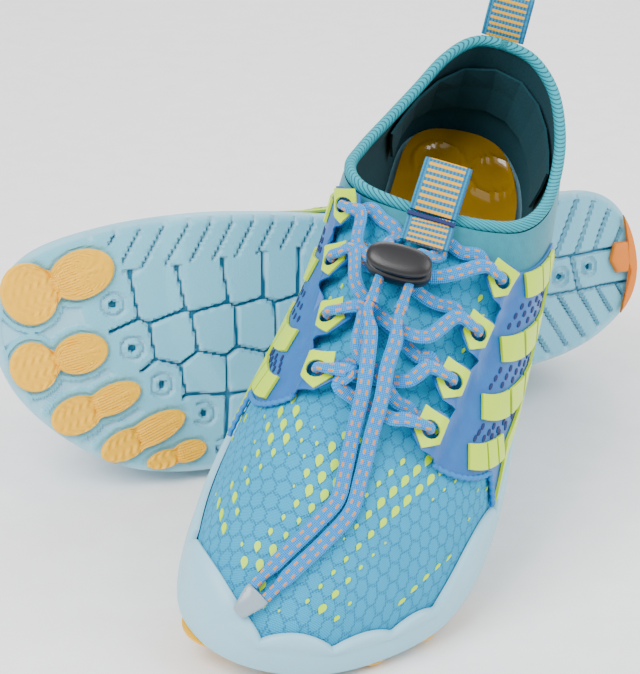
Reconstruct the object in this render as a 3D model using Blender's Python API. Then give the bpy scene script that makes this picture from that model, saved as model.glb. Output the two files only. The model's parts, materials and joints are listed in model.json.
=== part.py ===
"""A pair of low-cut lace-up water shoes: one lies on its side, the other leans on it, toe down.

Each shoe is modelled in its own frame in millimetres: the origin is at the back of the heel on
the sole's underside, +X points to the inner (big toe) side, +Y to the toe and +Z up. The right
shoe is the left one mirrored. Two empties place the shoes in the pair's frame, in metres, whose
origin is the bottom centre of the pair.
"""

import math

import bmesh
import bpy
import numpy as np
from mathutils import Euler, Vector

MM = 0.001
GAP = 0.3

# Where the two shoes stand: origin in millimetres, then the turn about the shoe's X, Y and Z in degrees.
# The turns are taken in the order Y, X, Z.
LEFT_PLACE = ((55.7, 79.87, 99.3), (-25.2, -13.6, 161.25))
RIGHT_PLACE = ((119.0, 76.87, 51.01), (0.0, 104.0, 113.67))

# Outline of the sole seen from above, heel first, then along the inner side.
SOLE_OUTLINE = (
    (0, 0), (17, 2.6), (27.5, 10.5), (32, 24), (31, 48), (30, 72), (31.5, 97), (36, 122), (41, 150),
    (44, 178), (43.5, 208), (38, 234), (26, 247), (10, 251), (-8, 247), (-24, 236), (-39, 218),
    (-46, 199), (-48.3, 176), (-47.2, 150), (-43.5, 122), (-38.5, 96), (-35, 72), (-32, 49),
    (-29.5, 33), (-24, 18), (-14, 5),
)
# The bound edge of the foot opening, in the same order.
COLLAR_EDGE = (
    (-1, 6, 57), (9, 9, 57), (16.5, 20, 56), (22, 38, 55), (27, 57, 56), (31, 76, 59), (31.5, 92, 64),
    (24, 104, 69), (10, 109, 72), (-4, 110, 73), (-18, 107, 71), (-29, 99, 67), (-34.5, 84, 62),
    (-35, 64, 58), (-32, 42, 56), (-25, 22, 56), (-14, 9.5, 57),
)
AROUND = 44  # points around the shoe in every shell, so that nested shells keep their gap

# Sole
TOE_SPRING = 10.0
SPRING_START = 160.0
SPRING_RUN = 90.0
CUP_FLOOR = 7.0
UPPER_BASE = 9.0
UPPER_INSET = 4.0
PAD_RECESS = 2.0
PAD_THICKNESS = 1.9
WALL_T = 0.11  # how far up the upper the rubber wall reaches, 0 at its foot and 1 at the collar edge
# Places around the shoe where two lobes of the toe bumper meet, with the wall's reach there,
# and how much higher each lobe rises between them.
BUMPER_JOINTS = ((0.413, 0.07), (0.499, 0.05), (0.539, 0.03), (0.574, 0.03), (0.603, 0.035), (0.681, 0.06))
BUMPER_RISES = (0.12, 0.055, 0.04, 0.035, 0.12)

# Upper
UPPER_THICKNESS = 2.2
WALL_BULGE = 1.5
INNER_BULGE = (3.5, 95.0, 42.0)  # height, place and width of the swelling at the inner side
OUTER_BULGE = (5.0, 97.0, 50.0)
# Lower edge of the neoprene collar, as reach up the upper at places around the shoe.
COLLAR_LINE = (
    (0.0, 0.16), (0.12, 0.22), (0.19, 0.62), (0.25, 0.93), (0.33, 0.93), (0.5, 0.93), (0.62, 0.91),
    (0.69, 0.87), (0.75, 0.78), (0.82, 0.62), (0.87, 0.22), (1.0, 0.16),
)
BINDING_RADIUS = 1.9

# Footbed
BOARD = (7.3, 8.3)
INSOLE = (8.6, 12.2)

# Cage, lime trim and eyelets: where each eyelet lies seen from above, from the ankle to the toe,
# and (place around, reach up) of the far end of the tile row that starts behind it.
EYELET_SPOTS = {
    "medial": ((23.7, 109.0), (21.4, 128.2), (16.3, 152.0), (15.1, 171.4)),
    "lateral": ((-25.0, 119.9), (-23.1, 140.6), (-21.0, 159.5), (-19.3, 176.8)),
}
ROW_ENDS = {
    "medial": ((0.190, 0.58), (0.228, 0.40), (0.262, 0.27), (0.318, 0.30)),
    "lateral": ((0.815, 0.62), (0.785, 0.39), (0.760, 0.25), (0.687, 0.29)),
}
STRIP_DROPS = (0.07, 0.075, 0.07, 0.03)
TRIM_TIPS = {"medial": (0.350, 0.16), "lateral": (0.672, 0.13)}
CAGE_OFFSETS = (0.5, 1.0)
TRIM_OFFSETS = (1.4, 1.9)
TAB_LIFT = 4.1  # how far the eyelet tabs stand off the upper, for the lace that runs under them
TAB_HALF_LENGTH = 7.0
TAB_REACH = 5.5
EYELET_RADIUS = 3.1
ROW_HALF_WIDTH = 4.0
ROW_START = 16.0

# Lace: heights are over the vamp
LACE_RADIUS = 1.5
LACE_UNDER = 1.9
LACE_OVER = 8.2
LACE_STEP = 9.0
LACE_TURN = 0.8  # most that the lace may turn between two points of its tube, in radians

# Cord lock: it stands over the throat, and the two ends of the lace run through it to the toe.
LOCK_SPOT = (2.0, 135.5)
LOCK_LIFT = 9.8
LOCK_SIZE = (20.5, 10.5, 5.5)
CHANNEL_X = 4.7
CHANNEL_RADIUS = 1.85
CAP_THICKNESS = 2.3
BUTTON_TRAVEL = 1.5
WELL_RADIUS = 2.3
STEM_RADIUS = 0.8
SPRING_RADIUS = 1.55
SPRING_WIRE = 0.22
LOCK_TRAVEL = 6.0
STRAIGHT_PAST_LOCK = LOCK_TRAVEL + 2.5

# Routes of the lace's two free tails, from the lock to the sleeve that joins their ends. On the
# left shoe they lie on the vamp: x, y and height over it. On the right shoe they fall past the vamp
# to the ground: x, y, z in the shoe's frame.
LEFT_TAILS = (
    ((4.0, 158.0, 9.4), (2.6, 167.0, 9.6), (1.2, 177.0, 8.0), (0.4, 187.0, 4.2), (-0.8, 198.0, 1.9),
     (-1.3, 207.0, 1.9), (2.6, 216.0, 1.9), (8.0, 226.0, 1.9), (13.6, 235.0, 1.9)),
    ((-2.4, 158.0, 9.4), (-2.6, 167.0, 9.4), (-3.8, 177.0, 9.0), (-4.6, 187.0, 5.2), (-5.8, 198.0, 1.9),
     (-6.0, 208.5, 1.9), (-1.8, 218.6, 1.9), (4.2, 229.0, 1.9), (10.0, 238.2, 1.9)),
)
RIGHT_TAILS = (
    ((4.5, 157.0, 70.5), (-4.0, 165.5, 71.5), (-11.5, 171.5, 76.0), (-17.5, 177.0, 82.0),
     (-21.3, 184.0, 87.0), (-22.8, 192.0, 90.0), (-23.3, 199.0, 91.5), (-23.5, 206.0, 92.0)),
    ((-5.0, 156.0, 72.0), (-12.0, 161.0, 76.5), (-18.0, 166.5, 83.0), (-21.3, 174.0, 90.0),
     (-22.6, 182.0, 95.0), (-23.0, 190.0, 97.0), (-23.2, 198.0, 97.6), (-23.3, 206.0, 97.4)),
)
SLEEVE_LENGTH = 9.0

# Webbing: the tongue loop is sewn down from the lock to its stitched bar, and free beyond it.
WEBBING_WIDTH = 15.5
WEBBING_THICKNESS = 1.2
HINGE_CLEARANCE = 1.0  # from where the webbing bends to each of its two halves
TONGUE_BAR = (-1.5, 112.5)
TONGUE_SEWN = 11.5
TONGUE_FREE = 19.0
TONGUE_RISE = 21.0
HEEL_FREE = 17.0
HEEL_RISE = 62.0


# ---------------------------------------------------------------- curves and surfaces


def smooth(points, per_span, closed):
    """Catmull-Rom curve through the points."""
    p = np.array(points, float)
    count = len(p)
    spans = count if closed else count - 1
    out = []
    for i in range(spans):
        if closed:
            a, b, c, d = p[i - 1], p[i], p[(i + 1) % count], p[(i + 2) % count]
        else:
            a, b, c, d = p[max(i - 1, 0)], p[i], p[i + 1], p[min(i + 2, count - 1)]
        for k in range(per_span):
            s = k / per_span
            out.append(
                0.5 * (2 * b + (c - a) * s + (2 * a - 5 * b + 4 * c - d) * s**2 + (3 * b - a - 3 * c + d) * s**3)
            )
    if not closed:
        out.append(p[-1])
    return np.array(out)


class Ring:
    """A closed curve read by its share of length, with 0.5 of `at_half` at the toe."""

    def __init__(self, points):
        dense = smooth(points, 40, True)
        self.points = np.vstack([dense, dense[:1]])
        steps = np.linalg.norm(np.diff(self.points, axis=0), axis=1)
        self.run = np.concatenate([[0], np.cumsum(steps)])
        self.toe = self.run[np.argmax(dense[:, 1])] / self.run[-1]

    def at(self, share):
        run = (np.asarray(share, float) % 1) * self.run[-1]
        return np.stack([np.interp(run, self.run, column) for column in self.points.T], -1)

    def at_half(self, share):
        share = np.asarray(share, float) % 1
        inner = share * 2 * self.toe
        outer = self.toe + (share - 0.5) * 2 * (1 - self.toe)
        return self.at(np.where(share <= 0.5, inner, outer))


SOLE = Ring(SOLE_OUTLINE)
EDGE = Ring(COLLAR_EDGE)


def toe_lift(y):
    return TOE_SPRING * (np.clip(np.asarray(y, float) - SPRING_START, 0, None) / SPRING_RUN) ** 2


def outward(u):
    """Unit normal of the sole's outline, pointing out."""
    step = 1e-3
    along = SOLE.at(u + step) - SOLE.at(u - step)
    along /= np.linalg.norm(along, axis=-1, keepdims=True)
    return np.stack([along[..., 1], -along[..., 0]], -1)


def sole_point(u, inset, z):
    """A point inside the outline by `inset`, at height z above the curved underside."""
    flat = SOLE.at(u) - outward(u) * np.asarray(inset, float)[..., None]
    return np.concatenate([flat, (z + toe_lift(flat[..., 1]))[..., None]], -1)


def swelling(bulge, y):
    height, place, width = bulge
    return height * np.exp(-(((y - place) / width) ** 2))


def bare_surface(u, t):
    """The outside of the upper: u runs around the shoe, t from the sole to the collar edge."""
    u, t = np.broadcast_arrays(np.asarray(u, float), np.asarray(t, float))
    outline = SOLE.at(u)
    n = np.concatenate([outward(u), np.zeros(u.shape + (1,))], -1)
    y = outline[..., 1]
    base = np.concatenate([outline, (UPPER_BASE + toe_lift(y))[..., None]], -1) - n * UPPER_INSET
    inner = (u % 1) <= SOLE.toe
    share = np.where(inner, (u % 1) / SOLE.toe, (1 - u % 1) / (1 - SOLE.toe))
    ring = 0.5 * (1 - (1 - share) ** 2.45)
    top = EDGE.at_half(np.where(inner, ring, 1 - ring))
    reach = (base - top) * (1, 1, 0)
    rise = (top - base) * (0, 0, 1)
    bulge = np.where(inner, 1 + swelling(INNER_BULGE, y), WALL_BULGE + swelling(OUTER_BULGE, y))[..., None]
    low = base - 0.05 * reach + 0.45 * rise + n * (WALL_BULGE + bulge)
    high = top + 0.37 * reach - 0.30 * rise + n * (WALL_BULGE + 0.8 * bulge)
    t = t[..., None]
    return (1 - t) ** 3 * base + 3 * (1 - t) ** 2 * t * low + 3 * (1 - t) * t**2 * high + t**3 * top


def slopes(u, t):
    step = 1e-3
    across = (bare_surface(u + step, t) - bare_surface(u - step, t)) / (2 * step)
    up = (bare_surface(u, t + step) - bare_surface(u, t - step)) / (2 * step)
    return across, up


def upper(u, t, offset=0.0):
    """A point on the upper, moved out along its normal by `offset`."""
    across, up = slopes(u, t)
    normal = np.cross(across, up)
    normal /= np.linalg.norm(normal, axis=-1, keepdims=True)
    return bare_surface(u, t) + normal * np.asarray(offset, float)[..., None]


def ring_places():
    """Places around the shoe, heel first, the toe half way, so that point j faces point AROUND - j."""
    half = AROUND // 2
    inner = SOLE.toe * np.arange(half) / half
    outer = SOLE.toe + (1 - SOLE.toe) * np.arange(half) / half
    return np.concatenate([inner, outer])


PLACES = ring_places()


def wall_reach(u):
    """How far up the upper the rubber reaches, with a lobe in front of each toe."""
    u = np.asarray(u, float) % 1
    joints = np.array(BUMPER_JOINTS)
    low = np.interp(u, joints[:, 0], joints[:, 1])
    reach = np.where((u < joints[0, 0]) | (u > joints[-1, 0]), WALL_T, low)
    for (start, _), (end, _), rise in zip(BUMPER_JOINTS, BUMPER_JOINTS[1:], BUMPER_RISES):
        share = np.clip((u - start) / (end - start), 0, 1)
        reach = reach + rise * np.sin(math.pi * share) ** 0.7
    return reach


def collar_line(u):
    line = np.array(COLLAR_LINE)
    return np.interp(np.asarray(u, float) % 1, line[:, 0], line[:, 1])


def find(x, y):
    """The place (u, t) on top of the vamp that lies at x, y."""
    grid_u, grid_t = np.meshgrid(np.linspace(0.2, 0.8, 61), np.linspace(0.1, 1.0, 31), indexing="ij")
    grid = bare_surface(grid_u, grid_t)
    nearest = np.argmin(np.hypot(grid[..., 0] - x, grid[..., 1] - y))
    place = np.array([grid_u.flat[nearest], grid_t.flat[nearest]])
    for _ in range(8):
        miss = np.array([x, y]) - bare_surface(*place)[:2]
        across, up = slopes(*place)
        place = place + 0.8 * np.linalg.lstsq(np.stack([across[:2], up[:2]], 1), miss, rcond=None)[0]
        place[1] = min(place[1], 1.0)
    return place


def over(x, y, offset):
    """A point above the vamp at x, y."""
    return upper(*find(x, y), offset)


EYELETS = {side: [tuple(find(*spot)) for spot in spots] for side, spots in EYELET_SPOTS.items()}


def walk(place, move):
    """The place (u, t) reached from another by a short move in space."""
    across, up = slopes(*place)
    return np.array(place) + np.linalg.lstsq(np.stack([across, up], 1), np.array(move, float), rcond=None)[0]


# ---------------------------------------------------------------- mesh making


def material(name, colour, roughness):
    found = bpy.data.materials.get(name)
    if found:
        return found
    made = bpy.data.materials.new(name)
    made.use_nodes = True
    shader = made.node_tree.nodes["Principled BSDF"]
    shader.inputs["Base Color"].default_value = (*colour, 1.0)
    shader.inputs["Roughness"].default_value = roughness
    made.diffuse_color = (*colour, 1.0)
    return made


class Shoe:
    """One shoe: an empty that carries its pieces, mirrored for the right foot."""

    def __init__(self, side, place):
        self.side = side
        self.flip = 1.0 if side == "left" else -1.0
        origin, turn = place
        self.empty = bpy.data.objects.new(side + "_shoe_place", None)
        bpy.context.scene.collection.objects.link(self.empty)
        self.empty.rotation_mode = "YXZ"
        self.empty.location = Vector(origin) * MM
        self.empty.rotation_euler = Euler([math.radians(angle) for angle in turn], "YXZ")

    def add(self, name, data, finish, origin=(0, 0, 0)):
        """Adds a piece whose local origin is at `origin`, in the shoe's millimetres."""
        piece = bpy.data.objects.new(self.side + "_" + name, data)
        data.materials.append(material(*finish))
        bpy.context.scene.collection.objects.link(piece)
        piece.parent = self.empty
        piece.location = Vector((origin[0] * self.flip, origin[1], origin[2])) * MM
        return piece

    def solid(self, name, points, faces, finish, origin=(0, 0, 0)):
        """A closed mesh from points in millimetres, turned so that its faces point out."""
        points = (np.array(points, float) - origin) * (self.flip, 1, 1) * MM
        mesh = bpy.data.meshes.new(self.side + "_" + name)
        mesh.from_pydata(points.tolist(), [], faces)
        bm = bmesh.new()
        bm.from_mesh(mesh)
        bmesh.ops.recalc_face_normals(bm, faces=bm.faces)
        if bm.calc_volume(signed=True) < 0:
            bmesh.ops.reverse_faces(bm, faces=bm.faces)
        bmesh.ops.triangulate(bm, faces=bm.faces)
        bm.to_mesh(mesh)
        bm.free()
        mesh.shade_smooth()
        mesh.set_sharp_from_angle(angle=math.radians(40))
        return self.add(name, mesh, finish, origin)


def band_faces(loops, count, closed_section):
    """Quads between neighbouring loops of `count` points each."""
    faces = []
    last = loops if closed_section else loops - 1
    for i in range(last):
        a, b = i * count, (i + 1) % loops * count
        for j in range(count):
            k = (j + 1) % count
            faces.append((a + j, a + k, b + k, b + j))
    return faces


def cap(points, loop, first, columns, height):
    """Fills a loop with rows of points between facing points; `height` gives z from x and y."""
    count = len(loop)
    half = count // 2
    rows = [[first]]
    extra = []
    for j in range(1, half):
        left, right = loop[j], loop[count - j]
        row = [first + j]
        for k in range(1, columns):
            middle = left + (right - left) * k / columns
            middle[2] = height(middle[0], middle[1])
            row.append(points + len(extra))
            extra.append(middle)
        row.append(first + count - j)
        rows.append(row)
    rows.append([first + half])
    faces = [(rows[0][0], rows[1][k], rows[1][k + 1]) for k in range(columns)]
    for low, high in zip(rows[1:-2], rows[2:-1]):
        faces += [(low[k], high[k], high[k + 1], low[k + 1]) for k in range(columns)]
    faces += [(rows[-1][0], rows[-2][k + 1], rows[-2][k]) for k in range(columns)]
    return extra, faces


def plate(outline_inset, low, high, columns):
    """A curved plate that follows the sole, between two heights."""
    loops = [sole_point(PLACES, outline_inset(PLACES), z) for z in (low, high)]
    points = np.vstack(loops)
    faces = band_faces(2, AROUND, False)
    for index, z in enumerate((low, high)):
        extra, more = cap(len(points), loops[index], index * AROUND, columns, lambda x, y, z=z: z + toe_lift(y))
        points = np.vstack([points, extra])
        faces += more
    return points, faces


def shell(levels, outer, inner):
    """A ring-shaped shell: t levels for every place around, at two offsets."""
    rising = [upper(PLACES, t, np.full(AROUND, outer)) for t in levels]
    falling = [upper(PLACES, t, np.full(AROUND, inner)) for t in reversed(levels)]
    loops = rising + falling
    return np.vstack(loops), band_faces(len(loops), AROUND, True)


def flat_slab(outline, low, high):
    """An outline in x and y raised between two heights above the sole's curved underside."""
    outline = np.array(outline, float)
    count = len(outline)
    rings = [np.column_stack([outline, z + toe_lift(outline[:, 1])]) for z in (low, high)]
    middles = [ring.mean(axis=0) for ring in rings]
    for z, middle in zip((low, high), middles):
        middle[2] = z + toe_lift(middle[1])
    points = np.vstack(rings + [middles])
    faces = band_faces(2, count, False)
    for index in (0, 1):
        start = index * count
        faces += [(start + j, start + (j + 1) % count, 2 * count + index) for j in range(count)]
    return points, faces


def patch(outline, holes, low, high):
    """A piece of shell over the upper, cut to an outline in (u, t), between two offset functions."""
    stretch = np.array([620.0, 75.0])
    bm = bmesh.new()
    for loop in [outline] + holes:
        corners = [bm.verts.new((*(np.array(corner) * stretch), 0.0)) for corner in loop]
        for a, b in zip(corners, corners[1:] + corners[:1]):
            bm.edges.new((a, b))
    bmesh.ops.triangle_fill(bm, use_beauty=True, edges=bm.edges[:])
    spans = np.array([v.co[:2] for v in bm.verts])
    for axis, step in ((0, 620.0 / AROUND), (1, 10.0)):
        for k in range(int(spans[:, axis].min() // step) + 1, int(spans[:, axis].max() // step) + 1):
            normal = Vector((1, 0, 0)) if axis == 0 else Vector((0, 1, 0))
            bmesh.ops.bisect_plane(
                bm, geom=bm.verts[:] + bm.edges[:] + bm.faces[:], dist=1e-4, plane_co=normal * k * step, plane_no=normal
            )
    bmesh.ops.dissolve_degenerate(bm, dist=0.02, edges=bm.edges[:])
    bmesh.ops.triangulate(bm, faces=bm.faces[:])
    bm.verts.index_update()
    places = np.array([v.co[:2] for v in bm.verts]) / stretch
    u, t = places.T
    points = np.vstack([upper(u, t, low(u, t)), upper(u, t, high(u, t))])
    count = len(places)
    faces = []
    for face in bm.faces:
        a, b, c = [v.index for v in face.verts]
        faces += [(a, b, c), (a + count, c + count, b + count)]
    for edge in bm.edges:
        if edge.is_boundary:
            a, b = [v.index for v in edge.verts]
            loop = edge.link_loops[0]
            if loop.vert.index != a:
                a, b = b, a
            faces.append((b, a, a + count, b + count))
    bm.free()
    return points, faces


# ---------------------------------------------------------------- finishes

RUBBER = ("pale_blue_rubber", (0.38, 0.66, 0.76), 0.55)
PAD = ("yellow_pad", (0.95, 0.60, 0.10), 0.5)
ORANGE = ("orange_pad", (0.80, 0.30, 0.01), 0.5)
KNIT = ("blue_knit", (0.0, 0.33, 0.60), 0.9)
NEOPRENE = ("teal_neoprene", (0.0, 0.25, 0.30), 0.85)
BINDING = ("teal_binding", (0.0, 0.36, 0.40), 0.9)
CAGE = ("blue_cage", (0.0, 0.18, 0.45), 0.5)
LIME = ("lime_trim", (0.55, 0.80, 0.05), 0.5)
AMBER = ("amber_footbed", (0.35, 0.22, 0.02), 0.25)
BOARD_GREY = ("grey_board", (0.25, 0.25, 0.25), 0.9)
DARK = ("dark_counter", (0.01, 0.05, 0.06), 0.9)
WEBBING = ("striped_webbing", (0.05, 0.35, 0.45), 0.9)
CORD = ("blue_lace", (0.05, 0.30, 0.65), 0.9)
CLEAR = ("clear_sleeve", (0.6, 0.75, 0.85), 0.2)
BLACK = ("black_plastic", (0.01, 0.01, 0.012), 0.35)
STEEL = ("spring_steel", (0.6, 0.6, 0.6), 0.3)


# ---------------------------------------------------------------- sole


def pad_zone(x, y):
    """1 where the underside is cut back for the toe pads and the heel insert, else 0."""
    toes = np.clip((y - 182 - 0.5 * np.minimum(x, 0)) / 8, 0, 1)
    heel = np.clip((24 - y) / 8, 0, 1)
    return np.maximum(toes, heel)


def underside(x, y):
    return PAD_RECESS * pad_zone(x, y) + toe_lift(y)


def outsole(shoe):
    """A rubber cup: flat tread, rounded edge, and a wall that laps the upper."""
    reach = wall_reach(PLACES)
    fixed = np.ones(AROUND)
    foot = sole_point(PLACES, 3.2 * fixed, 0 * fixed)
    foot[:, 2] = underside(foot[:, 0], foot[:, 1])
    edge = sole_point(PLACES, 1.2 * fixed, 0.8 * fixed)
    edge[:, 2] += 0.8 * PAD_RECESS * pad_zone(edge[:, 0], edge[:, 1])
    loops = [
        foot,
        edge,
        sole_point(PLACES, 0 * fixed, 4.5 * fixed),
        upper(PLACES, 0 * fixed, 2.6 * fixed),
        upper(PLACES, 0.5 * reach, 2.3 * fixed),
        upper(PLACES, reach, 1.7 * fixed),
        upper(PLACES, reach, GAP * fixed),
        upper(PLACES, 0.5 * reach, GAP * fixed),
        upper(PLACES, 0 * fixed, GAP * fixed),
        sole_point(PLACES, (UPPER_INSET - GAP) * fixed, CUP_FLOOR * fixed),
    ]
    points = np.vstack(loops)
    faces = band_faces(len(loops), AROUND, False)
    for index, columns, height in (
        (0, 4, underside),
        (len(loops) - 1, 2, lambda x, y: CUP_FLOOR + toe_lift(y)),
    ):
        extra, more = cap(len(points), loops[index], index * AROUND, columns, height)
        points = np.vstack([points, extra])
        faces += more
    shoe.solid("outsole", points, faces, RUBBER)


# Each toe pad is two ovals that run together: centre, half length and half width of the front one,
# then of the rear one.
TOE_PADS = (
    ((23.5, 237.5), 9.5, 11.0, (28.0, 219.0), 11.5, 8.5),
    ((-2.0, 239.0), 8.0, 8.8, (0.5, 222.5), 9.5, 7.0),
    ((-21.0, 226.5), 9.0, 6.6, (-17.0, 213.0), 10.0, 5.2),
    ((-34.0, 211.0), 9.0, 5.2, (-30.0, 199.5), 11.5, 5.0),
    ((-41.3, 197.5), 6.5, 3.2, (-39.8, 188.5), 6.5, 3.8),
)


def two_ovals(front, front_long, front_wide, rear, rear_long, rear_wide, steps=9):
    """The outline around two overlapping ovals with a waist between them."""
    front, rear = np.array(front), np.array(rear)
    along = front - rear
    length = np.linalg.norm(along)
    along /= length
    side = np.array([-along[1], along[0]])
    run = (length + front_long + rear_long) * (1 - np.cos(math.pi * (np.arange(steps) + 0.5) / steps)) / 2 - rear_long
    half = np.maximum(
        rear_wide * np.sqrt(np.clip(1 - (run / rear_long) ** 2, 0, 1)),
        front_wide * np.sqrt(np.clip(1 - ((run - length) / front_long) ** 2, 0, 1)),
    )
    half = np.maximum(half, 0.8)
    one = rear + run[:, None] * along + half[:, None] * side
    other = rear + run[:, None] * along - half[:, None] * side
    return np.vstack([one, other[::-1]])


def pads(shoe):
    top = PAD_RECESS - GAP
    for number, ovals in enumerate(TOE_PADS, 1):
        shoe.solid("toe_pad_%d" % number, *flat_slab(two_ovals(*ovals), top - PAD_THICKNESS, top), PAD)
    rear = [SOLE.at(u) - outward(np.array(u)) * 0.8 for u in (0.965, 0.98, 0.995, 0.01, 0.025, 0.036)]
    nose = [(10.0, 4.0), (10.0, 10.0), (3.7, 12.5), (-1.5, 10.0), (-2.0, 3.5)]
    shoe.solid("heel_insert", *flat_slab(rear + nose, top - PAD_THICKNESS, top), ORANGE)


# ---------------------------------------------------------------- footbed and upper


def footbed_inset(u):
    return 8.4 + 4.5 * np.clip((SOLE.at(u)[..., 1] - 185) / 55, 0, 1)


def footbed(shoe):
    shoe.solid("lasting_board", *plate(footbed_inset, *BOARD, 2), BOARD_GREY)
    shoe.solid("insole", *plate(footbed_inset, *INSOLE, 2), AMBER)


def heel_counter(shoe):
    """A thin cup inside the back of the upper."""
    u = np.linspace(-0.105, 0.105, 11)
    t = np.linspace(0.24, 0.72, 3)
    grid_u, grid_t = np.meshgrid(u, t, indexing="ij")
    outer = upper(grid_u, grid_t, np.full(grid_u.shape, -UPPER_THICKNESS - 1.3))
    inner = upper(grid_u, grid_t, np.full(grid_u.shape, -UPPER_THICKNESS - 2.2))
    wide, tall = grid_u.shape
    count = wide * tall
    faces = []
    for i in range(wide - 1):
        for j in range(tall - 1):
            a, b = i * tall + j, (i + 1) * tall + j
            faces.append((a, b, b + 1, a + 1))
            faces.append((count + a, count + a + 1, count + b + 1, count + b))
    rim = [i * tall for i in range(wide)]
    rim += [(wide - 1) * tall + j for j in range(1, tall)]
    rim += [i * tall + tall - 1 for i in range(wide - 2, -1, -1)]
    rim += [j for j in range(tall - 2, 0, -1)]
    for a, b in zip(rim, rim[1:] + rim[:1]):
        faces.append((a, b, b + count, a + count))
    shoe.solid("heel_counter", np.vstack([outer.reshape(-1, 3), inner.reshape(-1, 3)]), faces, DARK)


def vamp(shoe):
    """The knit upper, from inside the rubber cup to the collar line."""
    reach = wall_reach(PLACES)
    top = np.maximum(collar_line(PLACES), reach + 0.04)
    levels = [0 * reach, reach] + [reach + (top - reach) * k / 3 for k in (1, 2, 3)]
    shoe.solid("vamp", *shell(levels, 0.0, -UPPER_THICKNESS), KNIT)


def collar(shoe):
    """The neoprene collar, from the knit to just under the bound edge."""
    _, up = slopes(PLACES, np.ones(AROUND))
    per_mm = 1 / np.linalg.norm(up, axis=1)
    low = np.maximum(collar_line(PLACES), wall_reach(PLACES) + 0.04) + GAP * per_mm * 1.6
    high = 1 - (BINDING_RADIUS + 0.6) * per_mm
    levels = [low, (low + high) / 2, high]
    shoe.solid("collar", *shell(levels, 0.0, -UPPER_THICKNESS), NEOPRENE)
    _, up = slopes(PLACES, np.ones(AROUND))
    up /= np.linalg.norm(up, axis=1, keepdims=True)
    centre = upper(PLACES, np.ones(AROUND), np.full(AROUND, -1.1))
    out = upper(PLACES, np.ones(AROUND), np.full(AROUND, 0.0)) - centre
    out /= np.linalg.norm(out, axis=1, keepdims=True)
    sides = 5
    angles = 2 * math.pi * np.arange(sides) / sides
    loops = [centre + BINDING_RADIUS * (math.cos(a) * out + math.sin(a) * up) for a in angles]
    shoe.solid("collar_binding", np.vstack(loops), band_faces(sides, AROUND, True), BINDING)


# ---------------------------------------------------------------- cage, trim and eyelets


def tab_axes(side, number):
    """At an eyelet: unit directions along the row of eyelets (to the toe) and in to the throat."""
    place = EYELETS[side][number]
    here = bare_surface(*place)
    others = EYELETS[side]
    near = bare_surface(*others[max(number - 1, 0)])
    far = bare_surface(*others[min(number + 1, 3)])
    across, up = slopes(*place)
    normal = np.cross(across, up)
    normal /= np.linalg.norm(normal)
    along = far - near
    along -= normal * (along @ normal)
    along /= np.linalg.norm(along)
    inward = np.cross(normal, along)
    if inward @ (np.array([-2.0, here[1], here[2]]) - here) < 0:
        inward = -inward
    return along, inward


def near_eyelet(side, number, along_mm, inward_mm):
    """The place (u, t) that lies so many millimetres from an eyelet."""
    along, inward = tab_axes(side, number)
    return tuple(walk(EYELETS[side][number], along * along_mm + inward * inward_mm))


def ramp(x):
    x = np.clip(x, 0, 1)
    return x * x * (3 - 2 * x)


def tab_height(side):
    """How far the cage stands off the upper, as a function of (u, t): it rises towards each tab."""
    frames = []
    for number in range(4):
        place = EYELETS[side][number]
        across, up = slopes(*place)
        along, inward = tab_axes(side, number)
        frames.append((np.array(place), across, up, along, inward))

    def height(u, t):
        best = np.zeros(np.shape(u))
        for place, across, up, along, inward in frames:
            move = (u - place[0])[:, None] * across + (t - place[1])[:, None] * up
            rise = ramp((move @ inward + 8.5) / 6.0) * ramp((12.5 - np.abs(move @ along)) / 5.0)
            best = np.maximum(best, rise)
        return TAB_LIFT * best

    return height


def tab_corners(side, number):
    """The six corners of an eyelet tab that stand out to the throat, from the ankle to the toe."""
    half, reach = TAB_HALF_LENGTH, TAB_REACH
    spots = ((-half, -5.0), (-half, 0.0), (-0.45 * half, reach), (0.45 * half, reach), (half, 0.0), (half, -5.0))
    return [near_eyelet(side, number, *spot) for spot in spots]


def hole(side, number, radius, sides=6):
    angles = [2 * math.pi * k / sides for k in range(sides)]
    return [near_eyelet(side, number, radius * math.cos(a), radius * math.sin(a)) for a in angles]


def between(a, b, share):
    return tuple(np.array(a) + (np.array(b) - np.array(a)) * share)


def strip_corners(side, wider):
    """The lower edge of the lime strip, from the toe end to the ankle end."""
    outward_sign = 1 if side == "lateral" else -1
    corners = []
    for end, drop in zip(reversed(ROW_ENDS[side]), STRIP_DROPS):
        corners.append((end[0] + (0.011 + 0.15 * wider) * outward_sign, end[1] - drop - wider))
    return corners


def cage(shoe, side):
    """The moulded side cage: four eyelet tabs, a front edge, and a lower edge along the sole."""
    ends = ROW_ENDS[side]
    outline = []
    for number in range(4):
        outline += tab_corners(side, number)
    front = near_eyelet(side, 3, TAB_HALF_LENGTH + 1.5, -6.5)
    outward_sign = 1 if side == "lateral" else -1
    tip = TRIM_TIPS[side]
    outline += [front, (ends[3][0] - 0.024 * outward_sign, ends[3][1]), tip]
    outline += strip_corners(side, 0.02)
    outline += [(ends[0][0] + 0.006 * outward_sign, ends[0][1] + 0.10)]
    height = tab_height(side)
    points, faces = patch(
        outline,
        [hole(side, number, EYELET_RADIUS) for number in range(4)],
        lambda u, t: CAGE_OFFSETS[0] + height(u, t),
        lambda u, t: CAGE_OFFSETS[1] + height(u, t),
    )
    shoe.solid(side + "_cage", points, faces, CAGE)


def row_axes(side, number, place):
    """At a place on a tile row: unit directions down the row, and sideways to the toe."""
    across, up = slopes(*place)
    run = np.array(ROW_ENDS[side][number]) - EYELETS[side][number]
    down = across * run[0] + up * run[1]
    down /= np.linalg.norm(down)
    sideways = np.cross(np.cross(across, up), down)
    sideways /= np.linalg.norm(sideways)
    return down, sideways if sideways @ tab_axes(side, number)[0] > 0 else -sideways


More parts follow.
